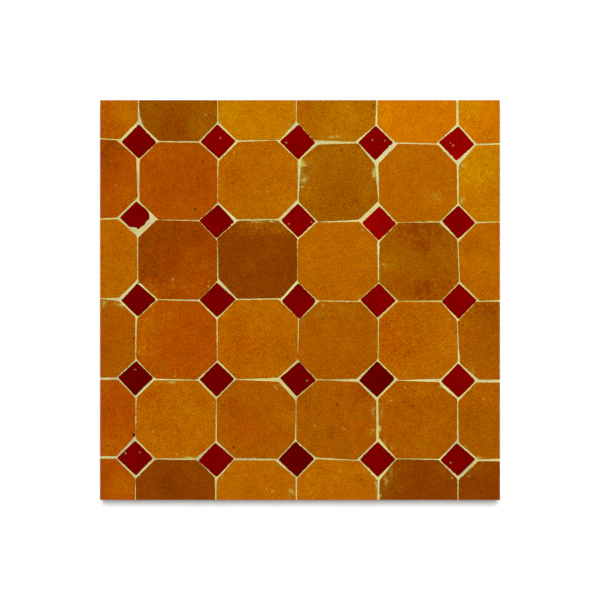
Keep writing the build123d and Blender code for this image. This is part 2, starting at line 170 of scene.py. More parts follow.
# How each octagon's glaze came out: its main glaze, then the clouds of other glaze in it as
# (x, y, radius, glaze, how strong).
GLAZE = {
    (0, 0): ("amber", [(-143.6, 130.1, 11, "ember", 0.8), (-146.6, 142.1, 10, "ember", 0.5),
             (-128.6, 140.6, 9, "honey", 0.25), (-128.6, 124.1, 7, "ember", 0.4)]),
    (0, 1): ("bark", [(-92.6, 133.1, 8, "rust", 0.8), (-100.1, 125.6, 9, "umber", 0.6),
             (-73.1, 128.6, 7, "ochre", 0.45), (-89.6, 128.6, 7, "rust", 0.5),
             (-112.1, 140.6, 7, "olive", 0.2), (-70.1, 142.1, 11, "olive", 0.85),
             (-77.6, 128.6, 6, "olive", 0.6), (-112.1, 128.6, 4, "bark", 0.5)]),
    (0, 2): ("honey", [(-55.1, 140.6, 10, "gold", 0.3), (-11.6, 142.1, 9, "amber", 0.25),
             (-58.1, 124.1, 6, "gold", 0.25)]),
    (0, 3): ("ochre", [(2.6, 143.6, 7, "ember", 0.45), (12.4, 131.6, 7, "tan", 0.45),
             (36.4, 136.1, 16, "honey", 0.45), (34.1, 140.6, 7, "gold", 0.2),
             (54.4, 147.4, 4, "bark", 0.2), (28.9, 127.1, 8, "ochre", 0.6),
             (4.9, 128.6, 4, "amber", 0.5), (25.9, 123.4, 10, "honey", 0.8)]),
    (0, 4): ("orange", [(64.9, 145.1, 10, "gold", 0.2), (105.4, 127.1, 10, "amber", 0.15)]),
    (0, 5): ("orange", [(124.9, 143.6, 10, "gold", 0.8), (141.4, 124.1, 8, "amber", 0.45),
             (121.9, 128.6, 6, "gold", 0.3), (144.4, 143.6, 7, "honey", 0.4)]),
    (1, 0): ("ember", [(-145.1, 114.4, 9, "umber", 0.9), (-134.6, 115.1, 7, "umber", 0.6),
             (-140.6, 100.1, 10, "russet", 0.9), (-148.1, 92.6, 8, "russet", 0.9),
             (-147.4, 106.1, 7, "umber", 0.5), (-128.6, 77.6, 10, "amber", 0.5),
             (-145.1, 71.6, 8, "tan", 0.35), (-130.1, 97.1, 6, "ember", 0.5)]),
    (1, 1): ("ember", [(-98.6, 104.6, 10, "tan", 0.3), (-91.1, 91.1, 15, "russet", 0.4),
             (-70.1, 92.6, 9, "russet", 0.5), (-76.1, 83.6, 9, "russet", 0.3),
             (-103.1, 82.1, 12, "russet", 0.25), (-89.6, 70.1, 10, "tan", 0.5),
             (-110.6, 95.6, 7, "russet", 0.45), (-82.1, 112.1, 9, "tan", 0.45)]),
    (1, 2): ("amber", [(-47.6, 91.1, 10, "ember", 0.55), (-28.1, 77.6, 12, "ochre", 0.5),
             (-11.6, 106.1, 10, "honey", 0.2), (-37.1, 68.6, 10, "ochre", 0.6),
             (-13.1, 74.6, 9, "honey", 0.4)]),
    (1, 3): ("olive", [(9.4, 104.6, 10, "ochre", 0.7), (4.9, 82.1, 9, "ochre", 0.6),
             (34.9, 79.1, 14, "bark", 0.6), (19.9, 67.9, 8, "bark", 0.3),
             (48.4, 107.6, 9, "ochre", 0.6), (26.6, 110.6, 14, "ochre", 0.35),
             (16.9, 91.1, 8, "tan", 0.4), (51.4, 82.1, 8, "ochre", 0.5)]),
    (1, 4): ("amber", [(75.4, 104.6, 14, "honey", 0.2), (111.4, 82.1, 8, "amber", 0.3),
             (72.4, 74.6, 9, "ember", 0.2), (100.9, 77.6, 7, "honey", 0.45),
             (84.4, 68.6, 9, "tan", 0.35)]),
    (1, 5): ("honey", [(129.4, 97.1, 11, "gold", 0.95), (123.4, 110.6, 6, "gold", 0.5),
             (139.9, 110.6, 10, "gold", 0.45), (145.9, 77.6, 10, "amber", 0.4),
             (127.9, 70.1, 9, "honey", 0.4), (142.9, 95.6, 7, "gold", 0.35)]),
    (2, 0): ("amber", [(-138.4, 40.1, 8, "ember", 0.5), (-130.1, 16.1, 12, "ochre", 0.3),
             (-145.1, 14.6, 8, "ember", 0.25)]),
    (2, 1): ("russet", [(-115.1, 40.1, 14, "umber", 1), (-95.6, 49.1, 14, "umber", 1),
             (-77.6, 46.1, 9, "rust", 0.9), (-115.1, 20.6, 10, "umber", 0.75),
             (-98.6, 28.1, 10, "rust", 0.6), (-82.1, 29.6, 8, "tan", 0.4),
             (-110.6, 3.4, 9, "amber", 0.6), (-76.1, 8.6, 10, "ember", 0.8),
             (-89.6, 10.1, 8, "tan", 0.5), (-70.1, 25.1, 6, "tan", 0.5)]),
    (2, 2): ("umber", [(-10.9, 19.9, 12, "soot", 0.3), (-20.6, 37.1, 6, "bark", 0.35),
             (-31.1, 58.1, 8, "ochre", 0.9), (-14.6, 58.1, 8, "ochre", 0.8),
             (-43.1, 55.1, 6, "olive", 0.7), (-37.1, 25.1, 7, "bark", 0.3),
             (-22.1, 11.6, 7, "bark", 0.25), (-44.6, 7.1, 9, "umber", 0.3)]),
    (2, 3): ("amber", [(15.4, 10.1, 10, "tan", 0.45), (37.9, 37.1, 14, "honey", 0.12),
             (49.9, 14.6, 9, "tan", 0.35), (4.9, 32.6, 5, "honey", 0.25)]),
    (2, 4): ("olive", [(81.4, 55.1, 10, "rust", 1), (96.4, 53.6, 10, "umber", 0.95),
             (91.9, 43.1, 8, "rust", 0.8), (75.4, 47.6, 5, "russet", 0.5),
             (93.4, 7.1, 11, "rust", 1), (73.9, 12.4, 9, "russet", 0.7),
             (66.4, 28.1, 7, "ochre", 0.8), (109.9, 11.6, 8, "russet", 0.7),
             (97.9, 28.1, 10, "bark", 0.4), (111.4, 40.1, 6, "bark", 0.5)]),
    (2, 5): ("amber", [(130.1, 40.1, 7, "tan", 0.8), (141.4, 28.1, 12, "honey", 0.25),
             (122.6, 31.1, 4, "honey", 0.7)]),
    (3, 0): ("tan", [(-134.6, -16.9, 10, "ember", 0.4), (-145.1, -36.4, 10, "russet", 0.9),
             (-134.6, -42.4, 9, "tan", 0.6), (-147.4, -25.9, 8, "ember", 0.7)]),
    (3, 1): ("ember", [(-114.4, -16.9, 10, "amber", 0.9), (-112.1, -34.1, 8, "amber", 0.5),
             (-72.4, -22.9, 9, "russet", 0.35), (-79.1, -37.9, 12, "ember", 0.6),
             (-98.6, -7.1, 8, "amber", 0.4), (-106.1, -49.9, 9, "tan", 0.5),
             (-118.9, -37.9, 6, "honey", 0.5), (-88.1, -30.4, 10, "ember", 0.6)]),
    (3, 2): ("amber", [(-47.6, -16.9, 8, "ember", 0.6), (-46.1, -33.4, 9, "ember", 0.6),
             (-28.1, -9.4, 10, "honey", 0.3), (-11.6, -39.4, 10, "tan", 0.6),
             (-44.6, -42.4, 10, "ember", 0.6), (-32.6, -34.9, 10, "ember", 0.55)]),
    (3, 3): ("tan", [(16.9, -4.9, 9, "ochre", 0.35), (37.9, -6.4, 9, "ochre", 0.8),
             (22.9, -22.9, 8, "amber", 0.4), (34.1, -34.1, 9, "amber", 0.4),
             (46.9, -45.4, 8, "tan", 0.4), (7.9, -37.9, 7, "amber", 0.4)]),
    (3, 4): ("amber", [(64.9, -21.4, 10, "ember", 0.9), (66.4, -37.9, 9, "ember", 0.8),
             (78.4, -9.4, 9, "tan", 0.6), (112.9, -37.9, 10, "honey", 0.35),
             (93.4, -16.9, 12, "tan", 0.7), (82.9, -34.1, 10, "ember", 0.6),
             (105.4, -16.9, 8, "amber", 0.4)]),
    (3, 5): ("tan", [(141.4, -6.4, 9, "umber", 0.75), (132.4, -13.9, 8, "bark", 0.6),
             (142.9, -19.9, 8, "bark", 0.6), (135.4, -37.9, 12, "olive", 0.5),
             (123.4, -16.9, 5, "ochre", 0.5), (130.9, -52.9, 7, "ochre", 0.4),
             (144.4, -37.9, 7, "bark", 0.3)]),
    (4, 0): ("ember", [(-146.6, -66.4, 6, "amber", 0.3), (-145.1, -84.4, 8, "russet", 0.5),
             (-142.1, -97.9, 7, "ember", 0.5), (-143.6, -111.4, 7, "amber", 0.7),
             (-131.6, -106.9, 6, "amber", 0.4), (-128.6, -81.4, 6, "russet", 0.3)]),
    (4, 1): ("amber", [(-72.4, -75.4, 6, "ember", 0.55), (-72.4, -112.9, 5, "ember", 0.5),
             (-112.1, -73.9, 11, "ember", 0.6), (-104.6, -90.4, 10, "tan", 0.4),
             (-112.1, -111.4, 9, "amber", 0.5), (-83.6, -82.9, 9, "honey", 0.25)]),
    (4, 2): ("tan", [(-40.1, -94.9, 14, "ember", 0.7), (-50.6, -81.4, 8, "russet", 0.5),
             (-11.6, -87.4, 8, "amber", 0.5), (-8.6, -102.4, 8, "ember", 0.5),
             (-28.1, -69.4, 9, "tan", 0.4), (-31.1, -84.4, 6, "russet", 0.3)]),
    (4, 3): ("tan", [(48.4, -69.4, 8, "russet", 0.85), (49.9, -93.4, 7, "ember", 0.5),
             (13.9, -97.9, 11, "olive", 0.6), (4.9, -75.4, 8, "bark", 0.5),
             (30.4, -81.4, 9, "tan", 0.5), (25.9, -64.9, 9, "tan", 0.4),
             (23.6, -100.9, 3, "rust", 0.8), (34.1, -111.4, 8, "olive", 0.5),
             (43.9, -99.4, 7, "ember", 0.3), (53.6, -99.4, 4, "ochre", 0.7)]),
    (4, 4): ("tan", [(90.4, -67.1, 10, "honey", 0.2), (81.4, -84.4, 9, "ember", 0.2),
             (67.9, -97.9, 7, "ember", 0.3), (103.9, -90.4, 9, "amber", 0.5),
             (109.9, -99.4, 6, "tan", 0.3), (90.4, -110.6, 9, "ochre", 0.45),
             (64.9, -75.4, 7, "honey", 0.25)]),
    (4, 5): ("tan", [(126.4, -90.4, 9, "bark", 0.5), (142.9, -105.4, 9, "olive", 0.8),
             (138.4, -84.4, 8, "olive", 0.5), (142.9, -72.4, 8, "amber", 0.35),
             (129.4, -66.4, 7, "ochre", 0.45), (127.9, -106.9, 8, "olive", 0.5)]),
    (5, 0): ("ember", [(-131.6, -139.9, 8, "amber", 0.9), (-147.4, -129.4, 7, "russet", 0.8),
             (-148.1, -144.4, 7, "russet", 0.6), (-127.1, -130.9, 6, "tan", 0.5),
             (-140.6, -144.4, 6, "amber", 0.4)]),
    (5, 1): ("umber", [(-100.9, -139.1, 6, "soot", 0.9), (-113.6, -132.4, 6, "umber", 0.5),
             (-79.1, -130.9, 8, "bark", 0.3), (-89.6, -146.6, 9, "soot", 0.3),
             (-106.1, -148.1, 6, "umber", 0.5)]),
    (5, 2): ("amber", [(-48.4, -136.9, 11, "honey", 0.3), (-28.1, -130.9, 9, "amber", 0.35),
             (-37.1, -146.6, 9, "tan", 0.3)]),
    (5, 3): ("amber", [(9.4, -138.4, 9, "honey", 0.45), (30.4, -130.9, 8, "honey", 0.3),
             (49.1, -142.9, 9, "tan", 0.35)]),
    (5, 4): ("umber", [(64.9, -130.9, 7, "olive", 0.8), (63.4, -144.4, 7, "bark", 0.9),
             (93.4, -142.9, 10, "soot", 0.2), (106.9, -126.4, 6, "bark", 0.5),
             (76.9, -124.9, 5, "bark", 0.5), (73.9, -138.4, 6, "bark", 0.5)]),
    (5, 5): ("umber", [(133.9, -124.9, 6, "bark", 0.9), (126.4, -141.4, 7, "umber", 0.6),
             (142.9, -145.9, 7, "soot", 0.25), (124.9, -127.9, 5, "bark", 0.6),
             (144.4, -127.9, 5, "bark", 0.5)]),
}

# The glaze of each small square.
REDS = {
    (0, 0): "oxblood", (0, 1): "carmine", (0, 2): "carmine", (0, 3): "carmine", (0, 4): "scarlet",
    (1, 0): "oxblood", (1, 1): "oxblood", (1, 2): "carmine", (1, 3): "scarlet", (1, 4): "carmine",
    (2, 0): "wine", (2, 1): "oxblood", (2, 2): "oxblood", (2, 3): "carmine", (2, 4): "carmine",
    (3, 0): "garnet", (3, 1): "wine", (3, 2): "wine", (3, 3): "garnet", (3, 4): "carmine",
    (4, 0): "oxblood", (4, 1): "oxblood", (4, 2): "garnet", (4, 3): "oxblood", (4, 4): "oxblood",
}

# Pits burst in the glaze, and pale chips and specks where the clay or grout shows, as
# (x, y, radius).
PITS = [
    (-49.9, -110.4, 0.6), (-57.2, -97.9, 0.34), (27.9, -78.6, 0.68), (29.3, -71.6, 0.45),
    (31.5, -72.2, 0.38), (27, -70.6, 0.34), (84.6, -79.7, 0.52), (46.1, -134.8, 0.52),
    (30.5, -131.9, 0.3), (55.1, 145.9, 0.6), (25.9, 127.9, 0.41), (-73.3, 103.6, 0.6),
    (-78.4, 67.9, 0.56), (-82.5, 102.2, 0.38), (-110.8, 13.1, 0.52), (-107.8, 19.3, 0.45),
    (-92.2, 44.2, 0.34), (-118.1, 21, 0.34), (-124.7, -28.7, 0.6), (119.1, 120.7, 0.68),
    (66.4, -0.4, 0.52), (-95.6, 142.9, 0.52), (-70.1, -20.6, 0.38), (-37.9, 18, 0.34),
    (-32.2, 27, 0.34), (-17.2, 19.1, 0.3), (-58.1, -78.8, 0.34), (43.1, -131.9, 0.3),
    (4.9, -80.5, 0.38), (-144.4, -109.3, 0.45), (-124.7, -101.1, 0.98), (9.4, 82.9, 0.3),
    (31.1, 111.8, 0.38), (138, 21.4, 0.38), (123.4, 135.4, 0.38), (7.1, 97.9, 0.26),
    (-58.1, -110.6, 0.22), (83.6, -67.9, 0.22), (16.9, -13.9, 0.38), (41.6, 11.6, 0.3),
]
FLECKS = [
    (54.4, 120.2, 0.46), (63.4, 119.4, 0.37), (112.9, 117.8, 0.4), (114.8, 115.9, 0.5),
    (-10.1, 117.8, 0.5), (-59.6, 121.6, 0.46), (-8.2, 56.9, 0.37), (8.6, 58.3, 0.31),
    (-123.8, -52.1, 0.31), (5.2, -60.4, 0.43), (-130.9, -114.9, 0.37), (-120, -114.2, 0.37),
    (112.9, -122.2, 0.5), (-30.4, 99.8, 0.37), (-24.4, 81.4, 0.5), (-138.4, 85.9, 0.37),
    (-68.6, 10.3, 0.62), (-68.4, 13.9, 0.31), (-95.3, 15.8, 0.68), (-147.2, -4.5, 0.68),
    (-147, -1.1, 0.37), (-133.1, -6, 0.37), (-93.8, -57, 0.43), (-107.3, -63.4, 0.37),
    (-110.3, -98.9, 0.5), (-92.2, -115.9, 0.56), (-18.4, -65.6, 0.56), (-17, -66.8, 0.37),
    (17.3, -3.7, 0.62), (112.3, -14.1, 0.5), (79.1, -65.6, 0.31), (68.6, -75.4, 0.62),
    (5.6, -132, 0.56), (-70.5, 138.8, 0.43), (-57.8, 142.9, 0.25), (-98.6, -9.8, 0.25),
    (-20.6, -143.2, 0.37), (114, -133.5, 0.62), (126.6, -132.4, 0.43), (137.2, -73.9, 0.37),
    (46.5, 52.9, 0.25), (11.2, -94.5, 0.43), (32.6, -96.4, 0.31), (-49.1, 111, 0.56),
    (-19.9, -142.9, 0.31), (29.6, -127.9, 0.37), (-25.1, -141.4, 0.25), (-64.9, -76.9, 0.25),
]

# Grout left on the glaze when the joints were wiped: (x, y, x radius, y radius, how thick).
HAZE = [
    (1.5, 102.4, 4.5, 3.8, 0.85), (0.8, 96, 2.2, 3, 0.6), (3, 90.5, 5, 4.5, 0.6),
    (8, 98, 5, 7, 0.25), (2.2, 85.1, 2.5, 3.8, 0.45), (55.6, 94.9, 2.2, 5.2, 0.9),
    (57.2, 100.1, 1.5, 2.2, 0.7), (53, 85.5, 3, 2, 0.35), (121.9, 100.5, 2.6, 2.6, 0.6),
    (121.9, 74.6, 1.9, 4.5, 0.6), (103.4, 77.6, 4.5, 3.8, 0.35), (100.9, 79.1, 1.5, 2.2, 0.35),
    (62.8, 27, 3, 3.2, 0.5), (59.5, -96.4, 1.6, 5, 0.85), (60.8, -85.1, 1.4, 4.5, 0.6),
    (129.4, -54.4, 1.4, 5.2, 0.45), (124.5, -110.6, 2.2, 2.2, 0.45),
    (133.9, -118.5, 6.8, 1.4, 0.55), (64.5, -135.8, 2.6, 7.5, 0.5), (59.6, -147.4, 3, 3, 0.5),
    (68.2, -127.9, 1.9, 6, 0.45), (-6.4, -143.2, 3.8, 3.8, 0.55), (-8.2, -148.1, 3.8, 2.2, 0.45),
    (-58.1, -133.4, 1.5, 3.8, 0.5), (48.4, -128.6, 3, 3, 0.4), (29.3, -127.1, 2.2, 2.2, 0.3),
    (-18.4, -124.9, 4.5, 2.2, 0.3), (-49.9, 121.5, 2.2, 1.1, 0.4), (-7.9, 130.9, 2.5, 3, 0.5),
    (63.4, 113.6, 2.2, 3, 0.2), (13.9, -10.5, 6, 2.2, 0.35), (2.6, -15.4, 2.2, 4.5, 0.35),
    (-134.6, -3.4, 7.5, 2.4, 0.6), (-146.6, -1.9, 3.8, 3, 0.5), (-96.4, -61.5, 4.5, 1.1, 0.7),
    (-82.9, -118.1, 4.5, 1.2, 0.8), (-12.4, -63.4, 6, 1.5, 0.5), (-18, 121.4, 3, 0.8, 0.3),
    (105.4, -64.9, 2.2, 2.2, 0.5), (63.8, -105.8, 1.5, 3.8, 0.6), (68.6, -110.6, 2.2, 3, 0.5),
    (-47.6, 120.6, 4.5, 1.1, 0.4), (-58.9, 134.6, 2.2, 3, 0.3), (122.6, 128.6, 2.2, 3, 0.35),
    (124.5, 47.2, 1.5, 1.5, 0.3), (-33, 58.6, 9, 1.3, 0.55), (-21, 58.8, 5, 1.3, 0.6),
    (26, 122.2, 9, 1.6, 0.5), (54.8, -84, 2, 6, 0.5), (54.5, -98, 2, 4, 0.45),
    (57.5, -139, 2, 7, 0.6)
]

# Places where the mortar never filled the joint, as (x, y, radius, depth).
GAPS = [(68.2, 51.3, 0.7, 1.6), (65.9, 49.9, 0.9, 2.2), (63.9, 47.2, 0.8, 1.8),
        (62.2, 44.6, 0.9, 2.4), (61.1, 41.3, 0.8, 2.2), (-124.3, -28.9, 0.9, 2.6),
        (-124.4, -101.6, 1.0, 2.6), (-121.2, 12.9, 0.6, 1.2), (58.9, 14.0, 0.5, 1.0)]


# ---------------------------------------------------------------------------------------------
# Noise and plane geometry

def hashed(i, j, seed):
    h = (i.astype(np.int64) * 374761393 + j.astype(np.int64) * 668265263
         + seed * 362437) & 0xFFFFFFFF
    h = ((h ^ (h >> 13)) * 1274126177) & 0xFFFFFFFF
    h = h ^ (h >> 16)
    return (h & 0xFFFFFF) / float(0xFFFFFF) * 2.0 - 1.0


def noise(x, y, size, seed):
    """Smooth noise from -1 to 1 whose bumps are about size across."""
    x, y = np.asarray(x, float), np.asarray(y, float)
    u, v = x / size + seed * 0.37, y / size - seed * 0.61
    i, j = np.floor(u).astype(np.int64), np.floor(v).astype(np.int64)
    fu, fv = u - i, v - j
    su, sv = fu * fu * (3 - 2 * fu), fv * fv * (3 - 2 * fv)
    low = hashed(i, j, seed) * (1 - su) + hashed(i + 1, j, seed) * su
    high = hashed(i, j + 1, seed) * (1 - su) + hashed(i + 1, j + 1, seed) * su
    return low * (1 - sv) + high * sv


def rough(x, y, size, seed, octaves=3, gain=0.5):
    total, weight = 0.0, 0.0
    for k in range(octaves):
        total = total + gain ** k * noise(x, y, size / 2.1 ** k, seed + 17 * k)
        weight += gain ** k
    return total / weight


def inset_polygon(poly, d):
    """A clockwise polygon moved inward by d, its corners mitred."""
    out = []
    for i in range(len(poly)):
        a, b, c = poly[i - 1], poly[i], poly[(i + 1) % len(poly)]
        e, f = (b - a) / np.linalg.norm(b - a), (c - b) / np.linalg.norm(c - b)
        n, m = np.array([e[1], -e[0]]), np.array([f[1], -f[0]])
        out.append(b + d * (n + m) / (1 + n @ m))
    return np.array(out)


def clip(a, b):
    """The part of the line from a to b inside the panel as two shares of it, or None."""
    t0, t1 = 0.0, 1.0
    for k in (0, 1):
        d = b[k] - a[k]
        for side in (-HALF, HALF):
            p, q = (-d, a[k] + HALF) if side < 0 else (d, HALF - a[k])
            if abs(p) < 1e-12:
                if q < 0:
                    return None
            elif p < 0:
                t0 = max(t0, q / p)
            else:
                t1 = min(t1, q / p)
    return (t0, t1) if t0 < t1 - 1e-9 else None


def snap(p):
    """Puts a point that is on the saw cut exactly on it."""
    q = p.copy()
    for k in (0, 1):
        if abs(abs(q[k]) - HALF) < 1e-6:
            q[k] = math.copysign(HALF, q[k])
    return q


def blur(points, closed, rounds):
    p = points.copy()
    for _ in range(rounds):
        before, after = np.roll(p, 1, 0), np.roll(p, -1, 0)
        q = 0.25 * before + 0.5 * p + 0.25 * after
        if not closed:
            q[0], q[-1] = p[0], p[-1]
        p = q
    return p


def inward_normals(points, closed):
    t = np.roll(points, -1, 0) - np.roll(points, 1, 0)
    if not closed:
        t[0], t[-1] = points[1] - points[0], points[-1] - points[-2]
    t /= np.linalg.norm(t, axis=1, keepdims=True)
    return np.stack([t[:, 1], -t[:, 0]], 1)


def push(points, closed, amount):
    """Moves an outline inward. The ends of one that runs into the saw cut slide along the cut."""
    q = points + inward_normals(points, closed) * np.reshape(amount, (-1, 1))
    if not closed:
        for i in (0, -1):
            k = int(np.argmax(np.abs(points[i])))
            q[i, k] = points[i, k]
    return q


def inside(points, loop):
    """Which of the points are inside a closed loop."""
    x, y = points[:, 0][:, None], points[:, 1][:, None]
    ax, ay = loop[:, 0], loop[:, 1]
    bx, by = np.roll(ax, -1), np.roll(ay, -1)
    crosses = (ay > y) != (by > y)
    with np.errstate(divide="ignore", invalid="ignore"):
        at = ax + (y - ay) / (by - ay) * (bx - ax)
    return (np.count_nonzero(crosses & (x < at), axis=1) % 2) == 1


def distance(points, line, closed):
    """How far each point is from an outline."""
    return distance_to(points, line if closed else line[:-1],
                       np.roll(line, -1, 0) if closed else line[1:])


def distance_to(points, a, b):
    """How far each point is from the nearest of the segments from a to b."""
    d = b - a
    length = np.maximum((d * d).sum(1), 1e-12)
    best = np.full(len(points), 1e9)
    for s in range(0, len(points), 4000):
        p = points[s:s + 4000]
        rel = p[:, None, :] - a[None]
        t = np.clip((rel * d[None]).sum(2) / length, 0, 1)
        off = rel - t[..., None] * d[None]
        best[s:s + 4000] = np.sqrt((off * off).sum(2).min(1))
    return best


def scatter(x0, x1, y0, y1, step, rng):
    """Points about step apart, on a rough grid."""
    gx, gy = np.meshgrid(np.arange(x0, x1 + step, step), np.arange(y0, y1 + step, step * 0.9))
    gx[1::2] += step / 2
    p = np.stack([gx.ravel(), gy.ravel()], 1)
    return p + rng.uniform(-0.28, 0.28, p.shape) * step


def triangulate(points, edges):
    """Triangles inside closed outlines: the points, which input point each was, triangles."""
    v, _, f, origin, _, _ = delaunay_2d_cdt([Vector(p) for p in points], edges, [], 1, 1e-7)
    p = np.array([tuple(q) for q in v])
    source = np.array([o[0] if o else -1 for o in origin])
    tri = np.array([t for t in f if len(t) == 3], dtype=np.int64).reshape(-1, 3)
    a, b, c = p[tri[:, 0]], p[tri[:, 1]], p[tri[:, 2]]
    area = (b[:, 0] - a[:, 0]) * (c[:, 1] - a[:, 1]) - (b[:, 1] - a[:, 1]) * (c[:, 0] - a[:, 0])
    tri[area < 0] = tri[area < 0][:, ::-1]
    return p, source, tri[np.abs(area) > 1e-9]


def linear(srgb):
    c = np.asarray(srgb, float) / 255.0
    return np.where(c <= 0.04045, c / 12.92, ((c + 0.055) / 1.055) ** 2.4)


LIGHT = 1.42            # what a white face lying flat sends back, in the light below


def glaze(name):
    return linear(GLAZES[name]) / LIGHT


# ---------------------------------------------------------------------------------------------
# Meshes

class Patchwork:
    """Collects triangles, with two tones and marks at each point, and welds them into one mesh."""

    def __init__(self):
        self.points, self.tris, self.slots, self.tones, self.marks = [], [], [], [], []
        self.count = 0

    def add(self, points, tris, slot, tones=None, marks=None):
        points, tris = np.asarray(points, float), np.asarray(tris, np.int64).reshape(-1, 3)
        n = len(points)
        self.points.append(points)
        self.tris.append(tris + self.count)
        self.slots.append(np.full(len(tris), slot))
        self.tones.append(np.full((n, 6), 0.5) if tones is None else tones)
        self.marks.append(np.zeros((n, 4)) if marks is None else marks)
        self.count += n

    def strip(self, upper, lower, closed, slot, tones=None, marks=None):
        """A wall between two loops of as many points. Clockwise loops face outward."""
        n = len(upper)
        i = np.arange(n if closed else n - 1)
        j = (i + 1) % n
        tris = np.concatenate([np.stack([i, j, n + j], 1), np.stack([i, n + j, n + i], 1)])
        two = (lambda a: None if a is None else np.concatenate([a, a]))
        self.add(np.concatenate([upper, lower]), tris, slot, two(tones), two(marks))

    def mesh(self, name, materials, sharp=38.0):
        p = np.concatenate(self.points)
        tri = np.concatenate(self.tris)
        slot = np.concatenate(self.slots)
        tone, marks = np.concatenate(self.tones), np.concatenate(self.marks)
        key = np.round(p * 5e4).astype(np.int64)
        _, first, back = np.unique(key, axis=0, return_index=True, return_inverse=True)
        back = np.reshape(back, -1)
        tri = back[tri]
        whole = (tri[:, 0] != tri[:, 1]) & (tri[:, 1] != tri[:, 2]) & (tri[:, 0] != tri[:, 2])
        tri, slot = tri[whole], slot[whole]
        p, tone, marks = p[first], tone[first], marks[first]
        used = np.unique(tri)
        renumber = np.full(len(p), -1)
        renumber[used] = np.arange(len(used))
        tri, p, tone, marks = renumber[tri], p[used], tone[used], marks[used]
        me = bpy.data.meshes.new(name)
        me.vertices.add(len(p))
        me.vertices.foreach_set("co", (p * 0.001).astype(np.float32).ravel())
        me.loops.add(len(tri) * 3)
        me.loops.foreach_set("vertex_index", tri.astype(np.int32).ravel())
        me.polygons.add(len(tri))
        me.polygons.foreach_set("loop_start", np.arange(0, len(tri) * 3, 3, dtype=np.int32))
        me.polygons.foreach_set("material_index", slot.astype(np.int32))
        me.update(calc_edges=True)
        one = np.ones((len(p), 1))
        layers = {"tone": np.hstack([tone[:, :3], one]), "cloud": np.hstack([tone[:, 3:], one]),
                  "marks": np.hstack([marks[:, :3], one]), "wiped": np.repeat(marks[:, 3:], 4, 1)}
        for label, rgba in layers.items():
            layer = me.attributes.new(label, "FLOAT_COLOR", "POINT")
            layer.data.foreach_set("color", rgba.astype(np.float32).ravel())
        me.validate()
        me.polygons.foreach_set("use_smooth", np.ones(len(me.polygons), bool))
        me.set_sharp_from_angle(angle=math.radians(sharp))
        ob = bpy.data.objects.new(name, me)
        bpy.context.scene.collection.objects.link(ob)
        for m in materials:
            me.materials.append(m)
        return ob


